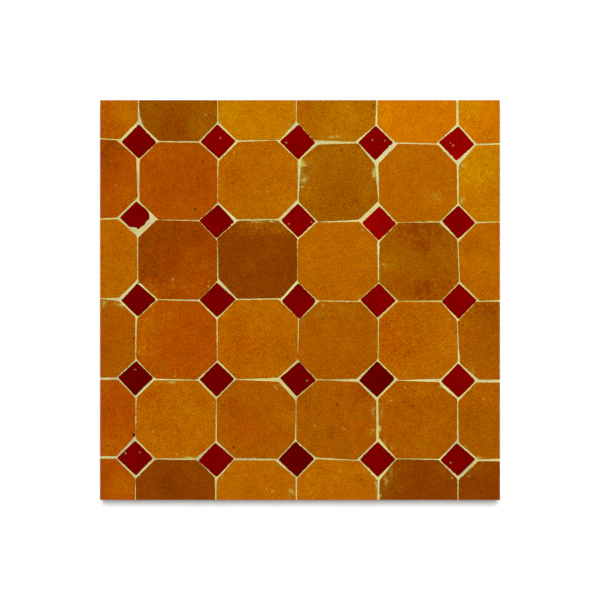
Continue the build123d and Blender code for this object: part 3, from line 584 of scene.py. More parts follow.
class Piece:
    """The chiselled outline of one terracotta piece at several heights, all with as many points:
    first those along its own edges, then those along the saw cut, if it was sawn."""

    HEIGHTS = (TOP, 17.35, 14.5, 11.0, BACK)

    def __init__(self, outline, seed, chips, broken=None):
        poly = np.array(outline, float)
        rng = np.random.default_rng(seed)
        self.seed = seed
        self.centre = np.clip(poly, -HALF, HALF).mean(0)
        n = len(poly)
        pairs = [(i, (i + 1) % n) for i in range(n)]
        kept = [i for i, j in pairs if clip(poly[i], poly[j])]
        self.closed = all(clip(poly[i], poly[j]) == (0.0, 1.0) for i, j in pairs)
        if not self.closed:
            first = [i for i in kept if clip(poly[i], poly[(i + 1) % n])[0] > 0]
            start = kept.index(first[0])
            kept = kept[start:] + kept[:start]
        share = {}
        for i in kept:
            a, b = poly[i], poly[(i + 1) % n]
            t0, t1 = clip(a, b)
            share[i] = max(2, round(np.linalg.norm(b - a) * (t1 - t0) / STEP))
        self.loops = []
        for k, z in enumerate(self.HEIGHTS):
            q = inset_polygon(poly, (TOP - z) * SLOPE)
            chain = []
            for i in kept:
                a, b = q[i], q[(i + 1) % n]
                t0, t1 = clip(a, b)
                t = t0 + (t1 - t0) * np.arange(share[i]) / share[i]
                chain.append(a + t[:, None] * (b - a))
            if not self.closed:
                chain.append((a + t1 * (b - a))[None])
            chain = np.concatenate(chain)
            if not self.closed:
                chain[0], chain[-1] = snap(chain[0]), snap(chain[-1])
            chain = blur(chain, self.closed, 3)
            if k == 0:
                arc = np.cumsum(np.linalg.norm(np.diff(chain, axis=0, prepend=chain[:1]), axis=1))
                bite = self._chips(arc, rng, chips)
            x, y = chain[:, 0] + 3.1 * k * (k > 1), chain[:, 1] - 2.3 * k * (k > 1)
            if k < 2:
                wander = 0.14 * rough(x, y, 3.4, seed) + 0.12 * noise(x, y, 1.3, seed + 5)
                wander = wander + bite * (1.0, 0.75)[k] - 0.14
                if broken is not None:
                    ragged = np.exp(-((x - broken[0]) ** 2 + (y - broken[1]) ** 2) / broken[2] ** 2)
                    nibbled = 1.1 * noise(x, y, 1.5, seed + 6) + 0.6 * noise(x, y, 0.9, seed + 7)
                    wander = wander + ragged * np.clip(nibbled, -0.5, 0.9)
            else:
                wander = 0.30 * np.abs(rough(x, y, 2.6, seed + 31 * k))
            self.loops.append(push(chain, self.closed, wander))
        self.chain = len(self.loops[0])
        self.border = []
        if not self.closed:
            ends = [(c[-1], c[0]) for c in self.loops]
            a, b = ends[0]
            k, m = int(np.argmax(np.abs(a))), int(np.argmax(np.abs(b)))
            stops = [a, b] if k == m else [a, np.sign(self.centre) * HALF, b]
            counts = [max(2, round(np.linalg.norm(q - p) / 1.1)) for p, q in zip(stops, stops[1:])]
            for a, b in ends:
                stops[0], stops[-1] = a, b
                run = []
                for (p, q), c in zip(zip(stops, stops[1:]), counts):
                    t = np.arange(c)[:, None] / c
                    run.append(p + t * (q - p))
                run = np.concatenate(run)[1:]
                self.border.append(np.array([snap(p) for p in run]))
            self.border[0] = self._worn(self.border[0], rng)
        tilt = rng.uniform(-0.0022, 0.0022, 2)
        self.tilt = tilt
        rel = self.loops[0] - self.centre
        self.low = float((rel @ tilt).max()) + rng.uniform(0.0, 0.12)

    @staticmethod
    def _worn(run, rng):
        """The arris of the saw cut, nibbled back a little."""
        s = run[:, 0] - run[:, 1]
        back = 0.02 + 0.05 * np.abs(noise(s, s * 0, 2.2, int(rng.integers(999))))
        for _ in range(rng.poisson(len(run) / 16.0)):
            at, width = rng.integers(len(run)), rng.uniform(0.8, 2.4)
            far = np.hypot(*(run - run[at]).T)
            back += rng.uniform(0.05, 0.25) * np.clip(1 - (far / width) ** 2, 0, 1)
        return np.clip(run, -HALF + back[:, None], HALF - back[:, None])

    @staticmethod
    def _chips(arc, rng, density):
        bite = np.zeros(len(arc))
        for _ in range(rng.poisson(arc[-1] / 60.0 * density)):
            at, width = rng.uniform(0, arc[-1]), rng.uniform(0.5, 1.3)
            depth = rng.uniform(0.12, 0.42)
            bite += depth * np.clip(1 - ((arc - at) / width) ** 2, 0, 1) ** 0.7
        return np.minimum(bite, 0.55)

    def loop(self, k):
        return self.loops[k] if self.closed else np.concatenate([self.loops[k], self.border[k]])

    def height(self, points, d):
        """The glazed surface: a slight tilt, slow waves, and the rolled edge at distance d."""
        x, y = points[:, 0], points[:, 1]
        rel = points - self.centre
        e = np.clip(1 - d / EDGE_W, 0, 1)
        roll = EDGE_H * (1 - np.sqrt(np.clip(1 - e * e, 0, 1)))
        waves = 0.07 * (1 + rough(x, y, 19.0, self.seed + 3, 2)) \
            + 0.016 * (1 + noise(x, y, 4.2, self.seed + 4))
        dish = 0.10 * np.exp(-d / 3.0)
        z = TOP - self.low + rel @ self.tilt - roll - waves - dish
        return np.minimum(z, TOP - 0.004)


def near(table, loop):
    """The entries of a table of spots that lie on a piece."""
    at = np.array([row[:2] for row in table])
    return [row for row, hit in zip(table, inside(at, loop)) if hit]


def glazed_face(piece, step, spots, rng):
    """Points and triangles of a piece's face. spots are (x, y, r, depth, mark)."""
    rim, chain = piece.loop(0), piece.loops[0]
    lo, hi = rim.min(0), rim.max(0)
    extra = []
    for d in (0.10, 0.24, 0.45, 0.8, 1.35):
        p = push(chain, piece.closed, np.full(len(chain), d))
        if d > 0.5:
            p = p[::2]
        p = p[inside(p, rim) & (np.abs(p).max(1) < HALF - 0.04)]
        extra.append(p[distance(p, chain, piece.closed) > 0.9 * d])
    grid = scatter(lo[0], hi[0], lo[1], hi[1], step, rng)
    grid = grid[inside(grid, rim)]
    d = distance(grid, rim, True)
    grid = grid[(d > 0.5) & (distance(grid, chain, piece.closed) > 1.35 + 0.45 * step)]
    extra.append(grid)
    extra = np.concatenate(extra)
    for x, y, r, _, _ in spots:
        away = np.hypot(extra[:, 0] - x, extra[:, 1] - y)
        extra = extra[away > 1.25 * r]
    rings = []
    for x, y, r, _, _ in spots:
        phase = rng.uniform(0, 6.28)
        rings.append([[x, y]])
        for share, n in ((0.45, 6), (0.8, 9), (1.12, 11)):
            a = phase + np.arange(n) * 2 * math.pi / n
            wobble = 1 + 0.16 * rng.uniform(-1, 1, n)
            rings.append(np.stack([x + r * share * wobble * np.cos(a),
                                   y + r * share * wobble * np.sin(a)], 1))
    if rings:
        rings = np.concatenate(rings)
        ok = inside(rings, rim)
        rings = rings[ok]
        rings = rings[distance(rings, rim, True) > 0.08]
        extra = np.concatenate([extra, rings])
    n = len(rim)
    points = np.concatenate([rim, extra])
    p, source, tri = triangulate(points, [(i, (i + 1) % n) for i in range(n)])
    p = np.where(source[:, None] >= 0, points[source], p)
    d = distance(p, chain, piece.closed)
    z = piece.height(p, d)
    for x, y, r, depth, _ in spots:
        q = np.clip(1 - (np.hypot(p[:, 0] - x, p[:, 1] - y) / (1.1 * r)) ** 2, 0, 1)
        z = z - depth * q ** 1.5
    return p, source, tri, d, z


def build_piece(name, jobs, materials, step):
    """One node's terracotta: jobs is a list of (piece, tone function, spots)."""
    work = Patchwork()
    for piece, tone_of, spots in jobs:
        rng = np.random.default_rng(piece.seed + 900)
        p, source, tri, d, z = glazed_face(piece, step, spots, rng)
        n = len(piece.loop(0))
        order = np.empty(n, np.int64)
        rim_rows = np.nonzero((source >= 0) & (source < n))[0]
        order[source[rim_rows]] = rim_rows
        tone = tone_of(p, d)
        marks = face_marks(p, d, spots, name.startswith("glazed_cab"))
        work.add(np.column_stack([p, z]), tri, 0, tone, marks)
        rim = np.column_stack([p[order], z[order]])
        piece.rim = rim
        edge_tone, edge_marks = tone[order], marks[order]
        previous = rim
        chain = piece.chain
        for k in range(1, len(piece.HEIGHTS)):
            flat = piece.loop(k)
            zk = np.full(n, piece.HEIGHTS[k])
            if k == 1:
                zk[:chain] = np.minimum(rim[:chain, 2] - 0.10, 17.45)
                s = flat[:, 0] + flat[:, 1]
                zk[chain:] = 17.42 + 0.05 * noise(s[chain:], s[chain:] * 0, 3.0, piece.seed + 8)
            current = np.column_stack([flat, zk])
            work.strip(previous, current, True, 0 if k == 1 else 1, edge_tone, edge_marks)
            previous = current
        back = piece.loop(len(piece.HEIGHTS) - 1)
        lo, hi = back.min(0), back.max(0)
        fill = scatter(lo[0], hi[0], lo[1], hi[1], 5.0, rng)
        fill = fill[inside(fill, back)]
        fill = fill[distance(fill, back, True) > 1.5]
        points = np.concatenate([back, fill])
        q, src, tri = triangulate(points, [(i, (i + 1) % n) for i in range(n)])
        q = np.where(src[:, None] >= 0, points[src], q)
        zb = np.full(len(q), BACK)
        zb[src >= n] += 0.12 * (1 + noise(q[src >= n, 0], q[src >= n, 1], 7.0, piece.seed + 9))
        work.add(np.column_stack([q, zb]), tri[:, ::-1], 1, np.tile(tone.mean(0), (len(q), 1)))
    return work.mesh(name, materials)


def face_marks(p, d, spots, small):
    """The pits, the pale specks, the nearness of an edge, and the grout wiped over the glaze."""
    marks = np.zeros((len(p), 4))
    for x, y, r, _, mark in spots:
        q = np.clip(1.25 - np.hypot(p[:, 0] - x, p[:, 1] - y) / r, 0, 0.5) * 2
        marks[:, mark] = np.maximum(marks[:, mark], q)
    lo, hi = p.min(0) - 12, p.max(0) + 12
    for x, y, rx, ry, thick in () if small else HAZE:
        if lo[0] < x < hi[0] and lo[1] < y < hi[1]:
            wx = p[:, 0] + 0.8 * rough(p[:, 0], p[:, 1], 3.0, 71)
            wy = p[:, 1] + 0.8 * rough(p[:, 0], p[:, 1], 3.0, 72)
            q = np.exp(-1.3 * (((wx - x) / rx) ** 2 + ((wy - y) / ry) ** 2))
            marks[:, 3] = np.maximum(marks[:, 3], thick * q)
    marks[:, 2] = np.exp(-d / 0.5)
    return marks


# ---------------------------------------------------------------------------------------------
# Tones of the glaze at each point: with its clouds weak, then with its clouds strong

def octagon_tone(key):
    main, clouds = GLAZE[key]
    seed = 300 + 10 * key[0] + key[1]

    def tone(p, d):
        x, y = p[:, 0], p[:, 1]
        wx = x + 3.2 * rough(x, y, 11.0, seed) + 2.3 * rough(x, y, 3.2, seed + 1)
        wy = y + 3.2 * rough(x, y, 11.0, seed + 2) + 2.3 * rough(x, y, 3.2, seed + 3)
        cloudy = 1 + 0.05 * rough(x, y, 9.0, seed + 4)[:, None] * np.array([0.7, 1.5, 1.0])
        out = []
        for share in (0.25, 1.75):
            c = np.tile(glaze(main), (len(p), 1))
            for cx, cy, r, name, strong in clouds:
                w = strong * np.exp(-1.1 * ((wx - cx) ** 2 + (wy - cy) ** 2) / (r * r))
                w = np.clip(w * share, 0, 1)
                c = c + (glaze(name) - c) * w[:, None]
            out.append(np.clip(c * cloudy, 0, 1))
        return np.hstack(out)
    return tone


def red_tone(key):
    seed = 700 + 10 * key[0] + key[1]

    def tone(p, d):
        x, y = p[:, 0], p[:, 1]
        c = np.tile(glaze(REDS[key]), (len(p), 2))
        return c * (1 + 0.16 * rough(x, y, 8.0, seed)[:, None])
    return tone


# ---------------------------------------------------------------------------------------------
# The mortar: one cast with a pocket for each piece, its joints wiped a little hollow

def around(p):
    """Where a point of the saw cut is along the panel's edge, clockwise from the upper left."""
    x, y = p[0], p[1]
    off = [abs(y - HALF), abs(x - HALF), abs(y + HALF), abs(x + HALF)]
    side = int(np.argmin(off))
    return side * 2 * HALF + [x + HALF, HALF - y, HALF - x, y + HALF][side]


def side_point(side, s, depth):
    if side == 0:
        return np.column_stack([s - HALF, HALF - depth])
    if side == 1:
        return np.column_stack([HALF - depth, HALF - s])
    if side == 2:
        return np.column_stack([HALF - s, depth - HALF])
    return np.column_stack([depth - HALF, s - HALF])


def side_of(p, q):
    m = (p + q) / 2
    return int(np.argmin([abs(m[1] - HALF), abs(m[0] - HALF),
                          abs(m[1] + HALF), abs(m[0] + HALF)]))


def mortar_tone(p, seed=40):
    """Cream to straw in the joints, greyer towards the lower left where less of it was wiped."""
    x, y = p[:, 0], p[:, 1]
    cream, straw = linear((231, 219, 166)) / LIGHT, linear((219, 201, 126)) / LIGHT
    grey = linear((192, 180, 140)) / LIGHT
    w = np.clip(0.5 + 1.3 * rough(x, y, 26.0, seed, 3), 0, 1)[:, None]
    g = np.clip(0.30 - (x + y) / 600 + 0.9 * rough(x, y, 13.0, seed + 9, 3), 0, 1)[:, None]
    c = cream + (straw - cream) * w * 0.75
    return np.tile(c + (grey - c) * g * 0.9, (1, 2))


def bed_tone(p, seed=44):
    """The lime and sand bed, which no glaze has stained."""
    x, y = p[:, 0], p[:, 1]
    pale, sandy = np.array([0.46, 0.418, 0.318]), np.array([0.375, 0.328, 0.232])
    w = np.clip(0.5 + 1.2 * rough(x, y, 24.0, seed, 3), 0, 1)[:, None]
    return np.tile(pale + (sandy - pale) * w, (1, 2))


def build_mortar(pieces, materials):
    rng = np.random.default_rng(5)
    work = Patchwork()
    rims, cuts, ends, floors = [], [], [], []
    floor_z, mid_z = BACK + 0.02, 14.5

    def wall(points, z):
        return np.column_stack([points, np.broadcast_to(z, len(points))])

    for piece in pieces:
        a = push(piece.loops[0], piece.closed, np.full(piece.chain, 0.10))
        za = np.minimum(piece.height(a, np.full(len(a), 0.10)) - 0.20, 17.74)
        b = push(piece.loops[2], piece.closed, np.full(piece.chain, 0.05))
        c = push(piece.loops[4], piece.closed, np.full(piece.chain, 0.05))
        a3, b3, c3 = wall(a, za), wall(b, mid_z), wall(c, floor_z)
        tone, marks = mortar_tone(a), np.zeros((len(a), 4))
        marks[:, 1] = 1.0
        for low, high in ((b3, a3), (c3, b3)):
            work.strip(low, high, piece.closed, 0, tone, marks)
        base = c3 if piece.closed else np.concatenate([c3, wall(piece.border[4], floor_z)])
        flat = base[:, :2]
        lo, hi = flat.min(0), flat.max(0)
        fill = scatter(lo[0], hi[0], lo[1], hi[1], 9.0, rng)
        fill = fill[inside(fill, flat)]
        fill = fill[distance(fill, flat, True) > 2.5]
        n = len(flat)
        points = np.concatenate([flat, fill])
        q, src, tri = triangulate(points, [(i, (i + 1) % n) for i in range(n)])
        q = np.where(src[:, None] >= 0, points[src], q)
        work.add(wall(q, floor_z), tri, 0, mortar_tone(q))
        rims.append((a3, piece.closed))
        if not piece.closed:
            for i in (0, -1):
                cuts += [(a3[i], b3[i]), (b3[i], c3[i])]
            run = np.concatenate([c3[-1:], wall(piece.border[4], floor_z), c3[:1]])
            cuts += list(zip(run, run[1:]))
            ends.append((around(a3[-1]), a3[0], a3[-1]))

    # The joints' own edges at the saw cut.
    ends.sort(key=lambda e: e[0])
    lips = []
    for this, after in zip(ends, ends[1:] + ends[:1]):
        p, q = this[1], after[2]
        n = max(2, round(np.linalg.norm(q - p) / 0.45))
        t = np.arange(n + 1)[:, None] / n
        run = p + t * (q - p)
        run[1:-1, 2] -= 0.10 + 0.12 * rng.uniform(0, 1, n - 1)
        lips.append(run)
        cuts += list(zip(run, run[1:]))

    # The top of the joints.
    verts, edges = [], []
    count = 0
    for a3, closed in rims:
        n = len(a3)
        verts.append(a3)
        edges += [(count + i, count + (i + 1) % n) for i in range(n if closed else n - 1)]
        count += n
    for run in lips:
        verts.append(run)
        edges += [(count + i, count + i + 1) for i in range(len(run) - 1)]
        count += len(run)
    fixed = np.concatenate(verts)
    grid = scatter(-HALF, HALF, -HALF, HALF, 0.5, rng)
    grid = grid[np.abs(grid).max(1) < HALF - 0.2]
    keep = np.ones(len(grid), bool)
    gap = np.full(len(grid), 9.0)
    for piece, (a3, closed) in zip(pieces, rims):
        rim = a3[:, :2]
        shape = rim if closed else np.concatenate([rim, piece.border[4]])
        lo, hi = shape.min(0) - 1.6, shape.max(0) + 1.6
        box = np.nonzero(((grid > lo) & (grid < hi)).all(1) & keep)[0]
        within = inside(grid[box], shape)
        keep[box[within]] = False
        box = box[~within]
        gap[box] = np.minimum(gap[box], distance(grid[box], rim, closed))
    keep &= (gap > 0.2) & (gap < 8.0)
    grid = grid[keep]
    points = np.concatenate([fixed[:, :2], grid])
    q, src, tri = triangulate(points, edges)
    q = np.where(src[:, None] >= 0, points[src], q)
    middle = q[tri].mean(1)
    open_joint = np.ones(len(tri), bool)
    for piece, (a3, closed) in zip(pieces, rims):
        shape = a3[:, :2] if closed else np.concatenate([a3[:, :2], piece.border[4]])
        lo, hi = shape.min(0), shape.max(0)
        box = np.nonzero(((middle > lo) & (middle < hi)).all(1) & open_joint)[0]
        open_joint[box[inside(middle[box], shape)]] = False
    tri = tri[open_joint]
    tree = KDTree(len(fixed))
    for i, v in enumerate(fixed):
        tree.insert((v[0], v[1], 0.0), i)
    tree.balance()
    z = np.zeros(len(q))
    d = np.zeros(len(q))
    for i, (x, y) in enumerate(q):
        if 0 <= src[i] < len(fixed):
            z[i] = fixed[src[i], 2]
            continue
        total = weight = 0.0
        found = tree.find_n((x, y, 0.0), 10)
        for co, k, far in found:
            w = 1.0 / (far * far + 0.01)
            total, weight = total + w * fixed[k, 2], weight + w
        z[i], d[i] = total / weight, found[0][2]
    free = d > 0
    x, y = q[:, 0], q[:, 1]
    hollow = 0.14 * (1 - np.exp(-d / 0.5)) * (1 + 0.5 * noise(x, y, 9.0, 61))
    sand = 0.05 * noise(x, y, 0.9, 62) + 0.05 * noise(x, y, 2.1, 63)
    z = np.where(free, z - hollow + sand * np.clip(d / 0.4, 0, 1), z)
    holes = [(gx, gy, r, deep) for gx, gy, r, deep in GAPS]
    pick = grid[rng.choice(len(grid), 150, replace=False)]
    holes += [(px, py, r, 0.9 * r) for (px, py), r in zip(pick, rng.uniform(0.25, 0.5, 150))]
    # The deepest holes are also painted nearly black: painted shade inside the open joints.
    hole_shade = np.zeros(len(q))
    for gx, gy, r, deep in holes:
        g = np.exp(-(((x - gx) ** 2 + (y - gy) ** 2) / (r * r)) ** 1.5)
        z = z - np.where(free, deep * g, 0)
        if deep > 0.9:
            hole_shade = np.maximum(hole_shade, g)
    z = np.minimum(z, 17.9)
    marks = np.zeros((len(q), 4))
    # Channel 1 marks the joint edges, which the mortar material brightens with painted light.
    marks[:, 0], marks[:, 1] = hole_shade, np.where(free, np.exp(-d / 0.3), 1.0)
    work.add(np.column_stack([q, z]), tri, 0, mortar_tone(q), marks)

    # The four sawn sides.
    bottom = []
    for side in range(4):
        corners = [side_point(side, np.array([s]), 0.0)[0] for s in (0.0, 2 * HALF)]
        s = np.linspace(0, 2 * HALF, 121)
        line = np.column_stack([side_point(side, s, np.zeros(len(s))), np.zeros(len(s))])
        line = np.array([np.append(snap(v[:2]), v[2]) for v in line])
        bottom.append(line)
        segments = [(p, r) for p, r in cuts if side_of(p, r) == side]
        segments += list(zip(line, line[1:]))
        for c in corners:
            up = [np.append(snap(c), z) for z in (0.0, 2.3, 4.7, floor_z)]
            segments += list(zip(up, up[1:]))
        index, flat, solid, edges = {}, [], [], []
        for pair in segments:
            ids = []
            for v in pair:
                key = tuple(np.round(v * 1e4).astype(int))
                if key not in index:
                    index[key] = len(flat)
                    s = [v[0] + HALF, HALF - v[1], HALF - v[0], v[1] + HALF][side]
                    flat.append((s, v[2]))
                    solid.append(v)
                ids.append(index[key])
            if ids[0] != ids[1]:
                edges.append(tuple(ids))
        flat, solid = np.array(flat), np.array(solid)
        a, b = flat[[e[0] for e in edges]], flat[[e[1] for e in edges]]
        low = scatter(0, 2 * HALF, 0, BACK, 1.3, rng)
        high = scatter(0, 2 * HALF, BACK, 17.8, 0.7, rng)
        fill = np.concatenate([low[low[:, 1] < BACK], high[high[:, 1] >= BACK]])
        fill = fill[(fill[:, 0] > 0.3) & (fill[:, 0] < 2 * HALF - 0.3) & (fill[:, 1] > 0.3)]
        far = distance_to(fill, a, b)
        fill = fill[far > np.where(fill[:, 1] < BACK, 0.45, 0.25)]
        points = np.concatenate([flat, fill])
        q, src, tri = triangulate(points, edges)
        q = np.where(src[:, None] >= 0, points[src], q)
        saw = 0.02 + 0.03 * (1 + noise(q[:, 0], q[:, 1], 2.0, 80 + side)) \
            + 0.03 * (1 + noise(q[:, 0], q[:, 1] * 7, 9.0, 90 + side))
        for _ in range(46):
            cx, cz, r = rng.uniform(2, 298), rng.uniform(0.8, 6.4), rng.uniform(0.5, 1.5)
            g = np.clip(1 - ((q[:, 0] - cx) ** 2 + (q[:, 1] - cz) ** 2) / (r * r), 0, 1)
            saw = saw + 0.7 * r * g
        xy = side_point(side, q[:, 0], saw)
        z = q[:, 1].copy()
        held = (src >= 0) & (src < len(solid))
        xy[held], z[held] = solid[src[held], :2], solid[src[held], 2]
        seed_xy = np.column_stack([q[:, 0] + 400 * side, q[:, 1]])
        marks = np.zeros((len(q), 4))
        marks[:, 2] = 1.0
        work.add(np.column_stack([xy, z]), tri[:, ::-1], 0, bed_tone(seed_xy), marks)

    # The back, as it came off the casting board.
    loop = np.concatenate([line[:-1] for line in bottom])
    fill = scatter(-HALF, HALF, -HALF, HALF, 2.6, rng)
    fill = fill[np.abs(fill).max(1) < HALF - 1.2]
    n = len(loop)
    points = np.concatenate([loop[:, :2], fill])
    q, src, tri = triangulate(points, [(i, (i + 1) % n) for i in range(n)])
    q = np.where(src[:, None] >= 0, points[src], q)
    x, y = q[:, 0], q[:, 1]
    z = np.clip(0.10 * (1 + rough(x, y, 24.0, 101)) + 0.05 * rough(x, y, 6.0, 102), 0, 1)
    for _ in range(260):
        cx, cy, r = rng.uniform(-147, 147), rng.uniform(-147, 147), rng.uniform(1.2, 3.4)
        g = np.clip(1 - ((x - cx) ** 2 + (y - cy) ** 2) / (r * r), 0, 1)
        z = z + 0.35 * r * g
    z = np.where((src >= 0) & (src < n), 0.0, np.minimum(z, 1.6))
    marks = np.zeros((len(q), 4))
    marks[:, 2] = 1.0
    work.add(np.column_stack([q, z]), tri[:, ::-1], 0, bed_tone(q), marks)
    return work.mesh("mortar", materials, 50.0)


# ---------------------------------------------------------------------------------------------
# Materials

class Nodes:
    """Shorthand for building one material's node tree."""

    def __init__(self, name):
        self.material = bpy.data.materials.new(name)
        self.material.use_nodes = True
        self.tree = self.material.node_tree
        self.tree.nodes.clear()
        self.place = self.node("ShaderNodeTexCoord").outputs["Object"]

    def node(self, kind, inputs=(), **props):
        n = self.tree.nodes.new(kind)
        for key, value in props.items():
            setattr(n, key, value)
        for key, value in dict(inputs).items():
            if isinstance(value, bpy.types.NodeSocket):
                self.tree.links.new(value, n.inputs[key])
            else:
                n.inputs[key].default_value = value
        return n

    def attribute(self, name, output="Color"):
        return self.node("ShaderNodeAttribute", attribute_name=name).outputs[output]

    def split(self, colour):
        n = self.node("ShaderNodeSeparateColor", {0: colour})
        return n.outputs[0], n.outputs[1], n.outputs[2]

    def noise(self, size, detail=2.0, roughness=0.5, place=None, distortion=0.0):
        """Noise whose bumps are about size millimetres across."""
        n = self.node("ShaderNodeTexNoise", {
            "Vector": place or self.place, "Scale": 1000.0 / size, "Detail": detail,
            "Roughness": roughness, "Distortion": distortion})
        return n.outputs["Fac"]

    def shifted(self, x, y, z):
        n = self.node("ShaderNodeMapping", {"Vector": self.place, "Location": (x, y, z)})
        return n.outputs[0]

    def cells(self, size, feature="F1", randomness=1.0, place=None):
        n = self.node("ShaderNodeTexVoronoi", {
            "Vector": place or self.place, "Scale": 1000.0 / size, "Randomness": randomness},
            feature=feature)
        return n

    def math(self, op, a, b=0.0, c=0.0, clamp=False):
        n = self.node("ShaderNodeMath", {0: a, 1: b, 2: c}, operation=op, use_clamp=clamp)
        return n.outputs[0]

    def range(self, value, a, b, c=0.0, d=1.0, smooth=False):
        n = self.node("ShaderNodeMapRange", {"Value": value, "From Min": a, "From Max": b,
                                             "To Min": c, "To Max": d})
        if smooth:
            n.interpolation_type = "SMOOTHSTEP"
        return n.outputs["Result"]

    def mix(self, factor, a, b, blend="MIX"):
        n = self.node("ShaderNodeMix", data_type="RGBA", blend_type=blend)
        sockets = [s for s in n.inputs if s.enabled]
        for s, value in zip(sockets, (factor, a, b)):
            if isinstance(value, bpy.types.NodeSocket):
                self.tree.links.new(value, s)
            else:
                s.default_value = value if not isinstance(value, tuple) else (*value[:3], 1.0)
        return [s for s in n.outputs if s.enabled][0]

    def rgb(self, r, g, b):
        n = self.node("ShaderNodeCombineColor", {0: r, 1: g, 2: b})
        return n.outputs[0]

    def bump(self, height, distance, strength=1.0, normal=None):
        inputs = {"Height": height, "Distance": distance, "Strength": strength}
        if normal is not None:
            inputs["Normal"] = normal
        return self.node("ShaderNodeBump", inputs).outputs[0]

    def finish(self, colour, roughness, normal, ior=1.5, level=0.5):
        bsdf = self.node("ShaderNodeBsdfPrincipled", {
            "Base Color": colour, "Roughness": roughness, "Normal": normal, "IOR": ior,
            "Specular IOR Level": level})
        out = self.node("ShaderNodeOutputMaterial")
        self.tree.links.new(bsdf.outputs[0], out.inputs["Surface"])
        return self.material


def glaze_material(name, green):
    """Iron or copper glaze on hand-cut clay: specked, mottled, slightly wavy and glossy. green
    says how much of the speckle is in the green, which the red glaze has none of."""
    m = Nodes(name)
    pit, pale, edge = m.split(m.attribute("marks"))
    wiped = m.attribute("wiped", "Fac")
    # The clouds of a second glaze are made of specks, thin at their edges and thick inside.
    fleck = m.range(m.noise(2.4, 4.0, 0.75, m.shifted(0.9, 0.4, 0.0)), 0.42, 0.58, 0.0, 1.0)
    tone = m.mix(fleck, m.attribute("tone"), m.attribute("cloud"))
    fine = m.range(m.noise(0.85, 4.0, 0.75), 0.3, 0.7, -1.0, 1.0)
    other = m.range(m.noise(0.85, 3.0, 0.7, m.shifted(0.31, 0.17, 0.05)), 0.3, 0.7, -1.0, 1.0)
    broad = m.range(m.noise(5.0, 3.0, 0.6, m.shifted(0.07, 0.41, 0.0)), 0.3, 0.7, -1.0, 1.0)
    # The grain shows the most in the darker glazes.
    depth = m.range(m.split(tone)[0], 0.24, 0.42, 0.38 + 0.26 * green, 0.38 - 0.04 * green)
    red = m.math("MULTIPLY_ADD", fine, depth, 1.0)
    red = m.math("MULTIPLY_ADD", broad, 0.07, red)
    grn = m.math("MULTIPLY_ADD", fine, 0.53 * green, 1.0)
    grn = m.math("MULTIPLY_ADD", other, 0.62 * green, grn)
    grn = m.math("MULTIPLY_ADD", broad, 0.12 * green, grn)
    colour = m.mix(1.0, tone, m.rgb(red, grn, red), "MULTIPLY")
    # The glaze is thin on the arris, so the clay browns it there.
    edge = m.math("MULTIPLY", edge, m.range(m.noise(2.4, 2.0), 0.3, 0.65, 0.12, 0.5))
    colour = m.mix(edge, colour, m.mix(1.0, colour, (0.90, 0.98, 0.30), "MULTIPLY"))
    # Dark iron specks, and golden ones where the glaze is thin.
    flurry = m.range(m.noise(9.0, 2.0, 0.5, m.shifted(0.2, 0.9, 0.0)), 0.45, 0.66, 0.10, 1.0)
    for size, share, low, high, tint, strong in (
            (2.3, 0.66, 0.08, 0.28, (0.42, 0.30, 0.2), 0.75),
            (2.4, 0.50, 0.08, 0.26, (1.32, 1.9, 1.0), 0.85)):
        cells = m.cells(size, place=m.shifted(size, 0.0, 0.0))
        speck = m.range(cells.outputs["Distance"], low, high, 1.0, 0.0)
        chosen = m.math("GREATER_THAN", m.split(cells.outputs["Color"])[0], share)
        strong = m.math("MULTIPLY", flurry, strong) if tint[0] > 1 else strong
        speck = m.math("MULTIPLY", speck, m.math("MULTIPLY", chosen, strong))
        colour = m.mix(speck, colour, m.mix(1.0, colour, tint, "MULTIPLY"))
    # The pits are painted nearly black: painted shade inside each pit, which is also dented in the
    # mesh.
    pit_shade = m.math("MULTIPLY", pit, m.range(m.noise(0.7, 2.0), 0.2, 0.5, 0.8, 1.0))
    colour = m.mix(pit_shade, colour, (0.008, 0.002, 0.0005))
    # Grout dragged over the glaze in streaks, with a thin bloom around them.
    streak = m.node("ShaderNodeMapping", {"Vector": m.place, "Rotation": (0.0, 0.0, -0.55),
                                          "Scale": (0.22, 1.0, 1.0)}).outputs[0]
    streak = m.noise(0.62, 3.0, 0.7, streak)
    rest = m.math("SUBTRACT", 0.98, m.math("MULTIPLY", wiped, 0.72))
    film = m.range(m.math("SUBTRACT", streak, m.math("MULTIPLY", rest, 0.72)), 0.02, 0.14)
    film = m.math("MULTIPLY", film, m.range(wiped, 0.02, 0.3))
    bloom = m.math("MULTIPLY", wiped, m.range(m.noise(1.1, 3.0, 0.7), 0.35, 0.7, 0.05, 0.65))
    spot = m.math("MULTIPLY", pale, m.range(m.noise(0.9, 2.0), 0.3, 0.6, 0.7, 1.0))
    colour = m.mix(bloom, colour, (0.255, 0.225, 0.018))
    colour = m.mix(m.math("MULTIPLY", film, 0.85), colour, (0.430, 0.385, 0.075))
    colour = m.mix(spot, colour, (0.430, 0.375, 0.060))
    dull = m.math("MAXIMUM", film, spot)
    shine = m.range(m.noise(5.0, 3.0), 0.3, 0.7, 0.13, 0.24)
    shine = m.math("MULTIPLY_ADD", dull, 0.06, shine)
    craze = m.cells(6.0, "DISTANCE_TO_EDGE").outputs["Distance"]
    craze = m.range(craze, 0.0, 0.012, -1.0, 0.0)
    normal = m.bump(m.noise(3.5, 2.0), 0.00009)
    normal = m.bump(m.noise(0.8, 2.0, 0.6), 0.000012, normal=normal)
    normal = m.bump(craze, 0.000008, normal=normal)
    normal = m.bump(m.math("MULTIPLY", dull, m.noise(0.6, 2.0)), 0.00003, normal=normal)
    return m.finish(colour, shine, normal)


